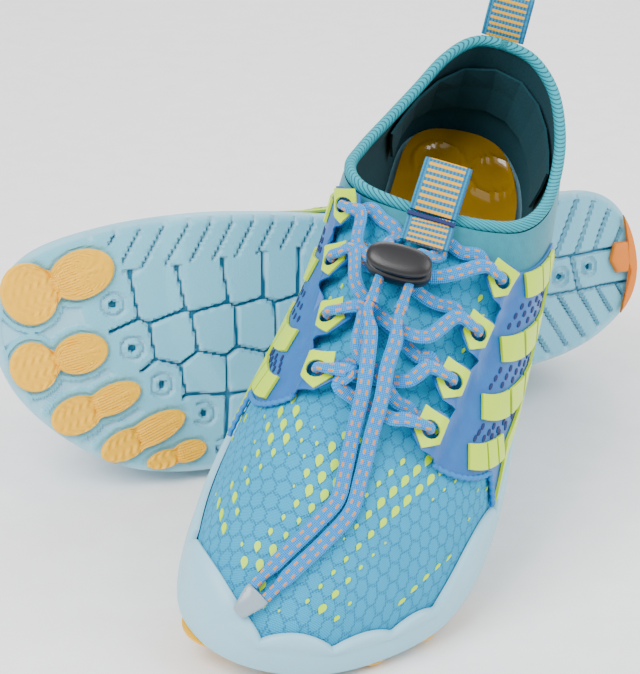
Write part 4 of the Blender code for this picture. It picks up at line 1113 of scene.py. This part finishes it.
def collar(shoe):
    _, up = slopes(PLACES, np.ones(AROUND))
    per_mm = 1 / np.linalg.norm(up, axis=1)
    low = np.maximum(collar_line(PLACES), wall_reach(PLACES) + 0.04)
    high = 1 - (BINDING_RADIUS + 0.2) * per_mm
    levels = [low + (high - low) * k / 14 for k in range(15)]
    points, faces, lining = fine_shell(levels, 0.25, -UPPER_THICKNESS)
    names = ("neoprene_collar", points, faces, "neoprene", "collar", ["collar"])
    shoe.piece(*names, weave=points, lining=lining)
    _, up = slopes(PLACES, np.ones(AROUND))
    up /= np.linalg.norm(up, axis=1, keepdims=True)
    centre = upper(PLACES, np.ones(AROUND), np.full(AROUND, -1.1))
    out = upper(PLACES, np.ones(AROUND), np.zeros(AROUND)) - centre
    out /= np.linalg.norm(out, axis=1, keepdims=True)
    sides = 14
    angles = 2 * math.pi * np.arange(sides) / sides
    loops = [centre + out * 2.0 * math.cos(a) + up * 2.1 * math.sin(a) for a in angles]
    steps = np.linalg.norm(np.diff(np.vstack([centre, centre[:1]]), axis=0), axis=1)
    run = np.concatenate([[0], np.cumsum(steps)[:-1]])
    weave = np.vstack([np.column_stack([run, np.full(AROUND, 4.0 * math.sin(a)), 0 * run]) for a in angles])
    shoe.piece("edge_binding", np.vstack(loops), band_faces(sides, AROUND, True), "binding", "binding",
               ["collar_binding"], weave=weave)


INSOLE_HEIGHTS = (8.6, 12.0)
CUSHION_X, CUSHION_Y, CUSHION_RADIUS = 10, 27, 9
FOOTBED_BUMPS = ((-9, 84), (0, 88), (9, 84), (-4, 96), (5, 96))


def footbed(shoe):
    """The glossy insole, with two round heel cushions and a few small bumps."""
    def inset(u):
        return 8.4 + 4.5 * np.clip((SOLE.at(u)[..., 1] - 185) / 55, 0, 1)

    loops = [sole_point(PLACES, inset(PLACES), z * np.ones(AROUND)) for z in INSOLE_HEIGHTS]
    points = np.vstack(loops)
    faces = band_faces(2, AROUND, False)
    for index, columns in ((0, 4), (1, 70)):
        inside, more = fine_rows(loops[index], index * AROUND, len(points), columns)
        inside[:, 2] = INSOLE_HEIGHTS[index] + toe_lift(inside[:, 1])
        if index:
            x, y = inside[:, 0], inside[:, 1]
            for side in (1, -1):
                r = np.hypot(x - CUSHION_X * side, y - CUSHION_Y)
                rim = 1 - ramp((np.abs(r - CUSHION_RADIUS) - 0.6) / 1.2)
                hollow = 1 - ramp((r - CUSHION_RADIUS + 2) / 2)
                inside[:, 2] += 0.8 * rim - 0.5 * hollow
            for a, b in FOOTBED_BUMPS:
                inside[:, 2] += 0.9 * (1 - ramp((np.hypot(x - a, y - b) - 1) / 2.5))
        points = np.vstack([points, inside])
        faces += more
    shoe.piece("amber_insole", points, faces, "insole", "insole", ["insole"])


DROP_ROWS = 4.7
DROP_STEP = 4.7


def drop_size(x, y):
    """How large the printed drops are at a place: they come in slanting columns that fade at their ends."""
    slant = x - 0.35 * (y - 200)
    column = 0.5 + 0.5 * np.cos(2 * math.pi * (slant - 4) / 22.0)
    patch_of = 0.5 + 0.5 * np.cos(2 * math.pi * (y + 0.9 * np.abs(x + 2) - 206) / 44.0)
    return column * 1.1 + patch_of * 0.8 - 0.5


def teardrop(place, size):
    """The outline of a drop on the upper, pointed towards the toe."""
    spots = []
    for k in range(12):
        angle = 2 * math.pi * k / 12
        narrow = 1 - 0.35 * math.cos(angle) if math.cos(angle) > 0 else 1.0
        point = 0.5 if k == 0 else 0.0
        move = np.array([1.25 * narrow * math.sin(angle), 2.0 * math.cos(angle) + point, 0.0])
        spots.append(walk(place, move * size))
    return spots


def lime_drops(shoe):
    """Raised teardrops printed on the knit, kept clear of the throat and the cages."""
    drops = []
    for row in range(28):
        for column in range(-11, 12):
            y = 122 + row * DROP_ROWS
            x = column * DROP_STEP + (row % 2) * DROP_STEP / 2 - 2
            in_throat = abs(x + 2) < 21 and y < 186
            if in_throat or y >= 246:
                continue
            u, t = find(x, y)
            size = min(1.0, float(drop_size(x, y)))
            low = float(wall_reach(np.array(u))) + 0.07
            if size < 0.22 or not low < t < 0.93 or not 0.33 < u < 0.69:
                continue
            if np.hypot(*(bare_surface(u, t)[:2] - (x, y))) > 0.6:
                continue
            drops.append(stud(teardrop((u, t), size), (0.05, 0.35)))
    shoe.piece("lime_drops", *gather(drops), "drop", "trim")


# ---------------------------------------------------------------- cage and trim


def cage(shoe, side):
    """The side cage with its eyelet tabs, and the twisted border along its front edge."""
    ends = ROW_ENDS[side]
    outline = []
    for number in range(4):
        outline += tab_corners(side, number)
    sign = 1 if side == "lateral" else -1
    front = near_eyelet(side, 3, TAB_HALF_LENGTH + 1.5, -6.5)
    border = [front, (ends[3][0] - 0.024 * sign, ends[3][1]), TRIM_TIPS[side]]
    outline += border + strip_corners(side, 0.02)
    outline += [(ends[0][0] + 0.006 * sign, ends[0][1] + 0.10)]
    height = tab_height(side)
    film = patch(
        outline,
        [hole(side, number, EYELET_RADIUS, 14) for number in range(4)],
        lambda u, t: CAGE_OFFSETS[0] + height(u, t),
        lambda u, t: CAGE_OFFSETS[1] + 0.1 + height(u, t),
    )
    shoe.piece(side + "_cage_film", *film, "cage", "cage", [side + "_cage"])
    rope(shoe, side + "_cage_border", border, height)


def rope(shoe, name, corners, height):
    """A row of short slanting beads that run together, like a twisted cord."""
    route = []
    for a, b in zip(corners, corners[1:]):
        route += [between(a, b, k / 30) for k in range(30)]
    route.append(corners[-1])
    u, t = np.array(route).T
    path = upper(u, t, 1.3 + height(u, t))
    points, faces, _ = sweep(path, np.array([0, 0.2, 1.0]), 0.8, 0.8, 0.45, twist=2.6)
    shoe.piece(name, points, faces, "rope", "cage")


TILE_SHARES = ((0.0, 0.44), (0.485, 0.76), (0.805, 1.0))
RING_OUTLINE = ((-6.0, -4.6), (-6.0, 4.4), (2.6, 4.4), (6.6, 0.0), (2.6, -4.6))


def tiles(side, number):
    """The outlines of the tiles in a row, from the eyelet down."""
    end_rear, start_rear, start_front, end_front = row_outline(side, number)
    for a, b in TILE_SHARES:
        yield [
            between(start_rear, end_rear, b), between(start_rear, end_rear, a),
            between(start_front, end_front, a), between(start_front, end_front, b),
        ]


def trim(shoe, side):
    """Lime tiles in four rows, the strip below them, and a pointed ring on every eyelet tab."""
    sign = 1 if side == "lateral" else -1
    strip_top = [(u + 0.008 * sign, t - 0.012) for u, t in ROW_ENDS[side]]
    outlines = [tile for number in range(4) for tile in tiles(side, number)]
    outlines.append(strip_top + [TRIM_TIPS[side]] + strip_corners(side, 0.0))
    low = lambda u, t: TRIM_OFFSETS[0] - 0.1 + 0 * u
    high = lambda u, t: TRIM_OFFSETS[1] + 0.3 + 0 * u
    film = gather(patch(outline, [], low, high) for outline in outlines)
    shoe.piece(side + "_lime_trim", *film, "lime", "trim", [side + "_trim"])
    height = tab_height(side)
    low = lambda u, t: CAGE_OFFSETS[1] + 0.15 + height(u, t)
    high = lambda u, t: CAGE_OFFSETS[1] + 0.75 + height(u, t)
    for number in range(4):
        outline = [near_eyelet(side, number, *spot) for spot in RING_OUTLINE]
        ring = patch(outline, [hole(side, number, EYELET_RADIUS - 0.1, 14)], low, high)
        shoe.piece("%s_eyelet_%d" % (side, number + 1), *ring, "lime", "trim")


def painted_vent_shade(shoe, side):
    """Dark ovals of painted shade, put where the openings lie in the windows between the tile rows."""
    angles = [2 * math.pi * k / 10 for k in range(10)]
    ovals = [np.array([0.0, 1.35 * math.cos(angle), 0.8 * math.sin(angle)]) for angle in angles]
    studs = []
    for number in range(3):
        first, second = row_outline(side, number), row_outline(side, number + 1)
        for i in range(5):
            a = between(first[2], first[3], 0.08 + 0.2 * i)
            b = between(second[1], second[0], 0.08 + 0.2 * i)
            for j in range(3):
                place = between(a, b, 0.25 + 0.25 * j)
                studs.append(stud([walk(place, move) for move in ovals], (1.12, 1.3)))
    shoe.piece(side + "_vents", *gather(studs), "vent", "cage")


# ---------------------------------------------------------------- lace, lock and webbing


def resample(values, run, even):
    return np.stack([np.interp(even, run, column) for column in values.T], 1)


def sweep(path, ups, wide, tall, step, twist=0.0, power=2.4, sides=16):
    """A rounded flat section along a path; `wide` and `tall` are half sizes, one number or one per point."""
    lengths = np.linalg.norm(np.diff(path, axis=0), axis=1)
    run = np.concatenate([[0], np.cumsum(lengths)])
    even = np.linspace(0, run[-1], max(4, int(run[-1] / step)))
    centre = resample(path, run, even)
    up = resample(np.broadcast_to(ups, path.shape), run, even)
    wide = np.interp(even, run, np.broadcast_to(wide, len(path)))
    tall = np.interp(even, run, np.broadcast_to(tall, len(path)))
    along = np.gradient(centre, axis=0)
    along /= np.linalg.norm(along, axis=1, keepdims=True)
    side = np.cross(along, up)
    side /= np.linalg.norm(side, axis=1, keepdims=True)
    up = np.cross(side, along)
    angles = 2 * math.pi * np.arange(sides) / sides
    a, b = squared_circle(angles, power)
    loops, weave = [], []
    for i, at in enumerate(even):
        swell = 1 + (0.22 * np.sin(2 * math.pi * at / twist + angles) if twist else 0.0)
        sideways, upward = a * wide[i] * swell, b * tall[i] * swell
        loops.append(centre[i] + side[i] * sideways[:, None] + up[i] * upward[:, None])
        weave.append(np.column_stack([np.full(sides, at), a * wide[i], b]))
    points = np.vstack(loops)
    return points, band_faces(len(loops), sides, False) + end_faces(len(points), sides), np.vstack(weave)


def surface_up(place):
    across, up = slopes(*place)
    return unit(np.cross(across, up))


def lock_axes():
    """The lock's middle and its directions: across the shoe, along to the toe, and up."""
    place = find(*LOCK_SPOT)
    normal = surface_up(place)
    along = unit(np.array([0.0, normal[2], -normal[1]]))
    side = unit(np.cross(along, normal))
    return upper(*place, LOCK_LIFT), side, along, unit(np.cross(side, along))


def in_lock(x, y, z):
    middle, side, along, up = lock_axes()
    return middle + side * x + along * y + up * z


CROSSINGS = {
    "first over": ((14.0, 127.0, 7.0), (6.0, 133.0, 5.1), (-8.0, 138.5, 3.0)),
    "first under": ((12.0, 130.5, 1.9), (6.0, 133.0, 1.9), (-8.0, 131.0, 5.0)),
    "second over": ((-10.0, 151.5, 6.8), (-2.0, 152.5, 5.6)),
    "second under": ((-10.0, 156.5, 2.0), (-2.0, 152.5, 1.9), (10.0, 143.5, 6.5)),
    "third over": ((6.0, 163.0, 6.5), (-1.0, 168.5, 5.6), (-8.0, 173.0, 3.2)),
    "third under": ((7.0, 169.5, 1.9), (-1.0, 168.5, 1.9), (-9.0, 166.5, 5.4)),
    "bar": ((8.0, 175.5, 5.6), (0.0, 178.0, 3.4), (-8.0, 179.5, 5.6)),
}
LACE_HALF_WIDTH = 2.3
LACE_HALF_HEIGHT = 0.95
LACE_ROUND = 1.5


def crossing(name):
    return [over(*spot) for spot in CROSSINGS[name]]


def ups_along(path):
    """The direction that the flat side of the lace faces: out from the vamp below it."""
    ups = []
    for point in path:
        y = min(max(point[1], 112.0), 236.0)
        ups.append(surface_up(find(np.clip(point[0], -26, 26), y)))
    return np.array(ups)


def narrowing(path, spots):
    """1 where the lace is squeezed round, near any of the spots, and 0 away from them."""
    away = np.min([np.linalg.norm(path - spot, axis=1) for spot in spots], axis=0)
    return 1 - ramp((away - 4.0) / 5.0)


def lace_piece(shoe, name, route, spots, node):
    path = smooth(route, 10, False)
    coarse = path[::8]
    share = np.linspace(0, 1, len(path))
    lies_on_vamp = shoe.side == "left" or node == "lace"
    ups = ups_along(coarse) if lies_on_vamp else np.array([[0, 0.1, 1.0]] * len(coarse))
    ups = resample(ups, share[::8], share)
    squeeze = narrowing(path, spots)
    wide = LACE_HALF_WIDTH + (LACE_ROUND - LACE_HALF_WIDTH) * squeeze
    tall = LACE_HALF_HEIGHT + (LACE_ROUND - LACE_HALF_HEIGHT) * squeeze
    points, faces, weave = sweep(path, ups, wide, tall, 0.7)
    return path, shoe.piece(name, points, faces, "lace", "lace", [node], weave=weave)


def lace(shoe):
    front = LOCK_SIZE[1] / 2 + STRAIGHT_PAST_LOCK
    half = LOCK_SIZE[1] / 2
    medial_end = [in_lock(CHANNEL_X, y, 0) for y in (front, half, 0, -half, -half - 1.5)]
    lateral_end = [in_lock(-CHANNEL_X, y, 0) for y in (-half - 1.5, -half, 0, half, front)]
    route = medial_end + [over(6.6, 124.5, 5.0), over(6.0, 120.5, 2.2), over(8.5, 117.0, 1.9)]
    route += [over(12.5, 114.5, 1.9)]
    route += turn("medial", 0) + crossing("first over")
    route += turn("lateral", 1) + crossing("second over")
    route += turn("medial", 2) + crossing("third over")
    route += turn("lateral", 3) + crossing("bar")[::-1]
    route += turn("medial", 3)[::-1] + crossing("third under")
    route += turn("lateral", 2)[::-1] + crossing("second under")
    route += turn("medial", 1)[::-1] + crossing("first under")
    route += turn("lateral", 0)[::-1] + [over(-13.0, 118.5, 1.9), over(-9.0, 118.0, 1.9)]
    route += [over(-6.5, 120.0, 2.0), over(-7.0, 122.8, 2.9), over(-4.3, 126.6, 6.2)]
    route += lateral_end
    middle = (LACE_UNDER + LACE_OVER) / 2
    spots = [at_eyelet(side, number, 0, 0, middle) for side in EYELETS for number in range(4)]
    spots += [in_lock(x, y, 0) for x in (CHANNEL_X, -CHANNEL_X) for y in (-half, 0, half)]
    lace_piece(shoe, "laced_run", route, spots, "lace")


def tails(shoe):
    """The two free tails, and the clear sleeve that joins them."""
    front = LOCK_SIZE[1] / 2 + STRAIGHT_PAST_LOCK
    routes = []
    for x, left, right in zip((CHANNEL_X, -CHANNEL_X), LEFT_TAILS, RIGHT_TAILS):
        start = [in_lock(x, front + GAP, 0), in_lock(x, front + 3.0, 0)]
        rest = [over(*spot) for spot in left] if shoe.side == "left" else [np.array(spot) for spot in right]
        routes.append(start + rest)
    middle = (routes[0][-1] + routes[1][-1]) / 2
    along = unit(sum(unit(route[-1] - route[-2]) for route in routes))
    for route in routes:
        route[-1] = route[-1] - along * ((route[-1] - middle) @ along)
    sleeve = end_sleeve(shoe, routes, middle, along)
    for name, route in zip("ab", routes):
        path, piece = lace_piece(shoe, "tail_" + name, route, [route[0], route[-1]], "lace_tail_" + name)
        line = shoe.world(path)
        tuple(line[0])


def end_sleeve(shoe, routes, middle, along):
    across = routes[1][-1] - routes[0][-1]
    wide = np.linalg.norm(across) + 2 * LACE_RADIUS
    across = unit(across)
    up = np.cross(across, along)
    sections = [(GAP, 0.94, 2.4), (0.9, 1.0, 2.9), (2.5, 0.98, 3.0), (SLEEVE_LENGTH - 2.0, 0.66, 2.5),
                (SLEEVE_LENGTH - 0.5, 0.55, 1.8), (SLEEVE_LENGTH, 0.42, 1.2)]
    points = [
        middle + across * x + up * y + along * z
        for z, share, tall in sections for x, y in oval(wide * share, tall, 28, 2.6)
    ]
    faces = band_faces(len(sections), 28, False) + end_faces(len(points), 28)
    return shoe.piece("end_sleeve", points, faces, "sleeve", "sleeve", ["lace_end"])


def stacked(sections, place):
    """A solid through oval sections: (length, width, height of the section)."""
    steps = 56
    points = [place(x, y, z) for long, wide, z in sections for x, y in oval(long, wide, steps)]
    return points, band_faces(len(sections), steps, False) + end_faces(len(points), steps)


def cord_lock(shoe):
    """An oval body and a domed cap, with a seam between them."""
    long, wide, tall = LOCK_SIZE
    low = -CHANNEL_RADIUS - 0.9
    high = low + tall
    body = [(long - 2.4, wide - 2.4, low), (long - 0.8, wide - 0.8, low + 0.4), (long, wide, low + 1.3),
            (long, wide, high - 0.6), (long - 0.8, wide - 0.8, high - 0.1), (long - 2.0, wide - 2.0, high)]
    shoe.piece("lock_case", *stacked(body, in_lock), "lock", "lock", ["lock_body"], part="lock")
    under = high + BUTTON_TRAVEL + 0.1
    cap_top = under + CAP_THICKNESS
    knob = [
        (3.2, 3.2, high - 0.5), (3.2, 3.2, under), (long - 0.8, wide - 0.8, under), (long, wide, under + 0.5),
        (long, wide, cap_top - 1.1), (long - 0.9, wide - 0.9, cap_top - 0.45),
        (long - 3.4, wide - 3.0, cap_top + 0.1), (long - 8.0, wide - 6.0, cap_top + 0.35),
    ]
    shoe.piece("lock_cap", *stacked(knob, in_lock), "lock", "lock", ["lock_button"], part="button")


def ribbon(shoe, name, route, across, node, part="shoe"):
    """Webbing along a route: a thin band with rounded edges."""
    across = unit(np.array(across, float))
    path = smooth(route, 12, False)
    ups = np.cross(np.gradient(path, axis=0), across)
    ups = -ups / np.linalg.norm(ups, axis=1, keepdims=True)
    half_width, half_height = WEBBING_WIDTH / 2, WEBBING_THICKNESS / 2
    points, faces, weave = sweep(path, ups, half_width, half_height, 0.5, power=5.0, sides=28)
    shoe.piece(name, points, faces, "webbing", "webbing", [node], part=part, weave=weave)


def folded(start, away, lift, length):
    """A strap that goes out, turns round a soft fold, and comes back below itself."""
    def side_of_fold(direction, runs):
        return [start + away * d + lift * direction * min(1.0, d / 6) for d in runs]

    runs = np.linspace(HINGE_CLEARANCE, length - 1.5, 6)
    back = np.linspace(length - 1.5, HINGE_CLEARANCE, 6)
    return side_of_fold(1.0, runs) + [start + away * length] + side_of_fold(-1.0, back)


def tongue_webbing(shoe):
    """The flap tucked under the lock, the stitch bar, and the free loop beyond it."""
    x, y = TONGUE_BAR
    bar = over(x, y, 2.6)
    rises = ((TONGUE_SEWN, 6.2), (8.0, 5.4), (4.5, 4.7), (2.4, 3.6))
    flap = [over(x, y + run, height) for run, height in rises]
    across = (1, 0, 0.02)
    ribbon(shoe, "tongue_flap", flap + [bar + unit(flap[-1] - bar) * 0.2], across, "tongue_tab")
    rise = math.radians(TONGUE_RISE)
    away = np.array([0, -math.cos(rise), math.sin(rise)])
    lift = np.array([0, math.sin(rise), math.cos(rise)])
    ribbon(shoe, "tongue_pull", folded(bar, away, lift, TONGUE_FREE), across, "tongue_loop", "tongue_strap")
    stitch_bar(shoe, "tongue_stitch", bar + lift * 1.3 + np.array([0, 1.2, 0]), np.array(across))


def stitch_bar(shoe, name, middle, across):
    """A short dark bar of thread across the webbing."""
    across = unit(np.array(across, float))
    path = np.array([middle + across * x for x in np.linspace(-WEBBING_WIDTH / 2, WEBBING_WIDTH / 2, 12)])
    points, faces, _ = sweep(path, np.array([0, 0.2, 1.0]), 0.8, 0.35, 0.4, twist=1.1)
    shoe.piece(name, points, faces, "vent", "webbing")


def heel_webbing(shoe):
    base = upper(0.0, 0.93, 1.9 + WEBBING_THICKNESS / 2)
    sewn = [upper(0.0, t, h + WEBBING_THICKNESS / 2) for t, h in ((0.70, 0.5), (0.78, 0.5), (0.86, 1.0))]
    ribbon(shoe, "heel_flap", sewn + [base - unit(base - sewn[-1]) * 0.2], (1, 0, 0), "heel_tab")
    rise = math.radians(HEEL_RISE)
    away = np.array([0, -math.cos(rise), math.sin(rise)])
    lift = np.array([0, math.sin(rise), math.cos(rise)])
    ribbon(shoe, "heel_pull", folded(base, away, lift, HEEL_FREE), (1, 0, 0), "heel_loop", "heel_strap")


# ---------------------------------------------------------------- scene


def paint_hidden(shoe):
    """The solids that stay as they are get a finish of their own."""
    for node, finish in (("lasting_board", "board"), ("heel_counter", "lining"), ("lock_spring", "steel")):
        solid = shoe.frame["nodes"][shoe.body(node)]
        solid.data.materials.clear()
        solid.data.materials.append(shoe.finishes[finish])


def build_shoe(side, frame, finishes):
    shoe = Shoe(side, frame, finishes)
    outsole(shoe)
    toe_pads(shoe)
    vamp(shoe)
    collar(shoe)
    footbed(shoe)
    lime_drops(shoe)
    for flank in ("medial", "lateral"):
        cage(shoe, flank)
        trim(shoe, flank)
        painted_vent_shade(shoe, flank)
    lace(shoe)
    tails(shoe)
    cord_lock(shoe)
    tongue_webbing(shoe)
    heel_webbing(shoe)
    paint_hidden(shoe)


CAMERA_PLACE = (-0.0041, -0.6565, 0.3307)
CAMERA_DOWN = 22.9  # degrees below the horizon
CAMERA_LENS = 108.75
CAMERA_SENSOR = 36.0


def set_camera():
    camera = bpy.data.cameras.new("camera")
    camera.lens = CAMERA_LENS
    camera.sensor_width = CAMERA_SENSOR
    camera.clip_start = 0.01
    holder = bpy.data.objects.new("camera", camera)
    holder.location = CAMERA_PLACE
    holder.rotation_euler = (math.radians(90 - CAMERA_DOWN), 0.0, 0.0)
    bpy.context.scene.collection.objects.link(holder)
    bpy.context.scene.camera = holder


WORLD_STRENGTH = 1.05
LAMPS = (((-0.5, -0.6, 0.9), 0.7, 16), ((0.8, -0.3, 0.8), 0.8, 9), ((0.1, 0.9, 0.9), 0.9, 8))
FLOOR_HALF = 3
FLOOR_Z = -0.0005


def set_floor():
    mesh = bpy.data.meshes.new("floor")
    corners = ((-1, -1), (1, -1), (1, 1), (-1, 1))
    mesh.from_pydata([(x * FLOOR_HALF, y * FLOOR_HALF, FLOOR_Z) for x, y in corners], [], [(0, 1, 2, 3)])
    mesh.materials.append(grainy("floor_paper", (0.9, 0.9, 0.9, 1.0), 0.9, 3.0, 0.01))
    floor = bpy.data.objects.new("floor", mesh)
    bpy.context.scene.collection.objects.link(floor)


def set_light():
    """A pale world and three soft lamps: place, size and power."""
    world = bpy.data.worlds.new("studio")
    world.use_nodes = True
    world.node_tree.nodes["Background"].inputs[0].default_value = (1, 1, 1, 1)
    world.node_tree.nodes["Background"].inputs[1].default_value = WORLD_STRENGTH
    bpy.context.scene.world = world
    for place, size, power in LAMPS:
        lamp = bpy.data.lights.new("soft_lamp", "AREA")
        lamp.size = size
        lamp.energy = power
        holder = bpy.data.objects.new("soft_lamp", lamp)
        holder.location = place
        holder.rotation_euler = (Vector((0, 0, 0.06)) - Vector(place)).to_track_quat("-Z", "Y").to_euler()
        bpy.context.scene.collection.objects.link(holder)


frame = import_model()
set_camera()
set_floor()
set_light()
FINISHES = make_finishes()
for shoe_side in ("left", "right"):
    build_shoe(shoe_side, frame, FINISHES)
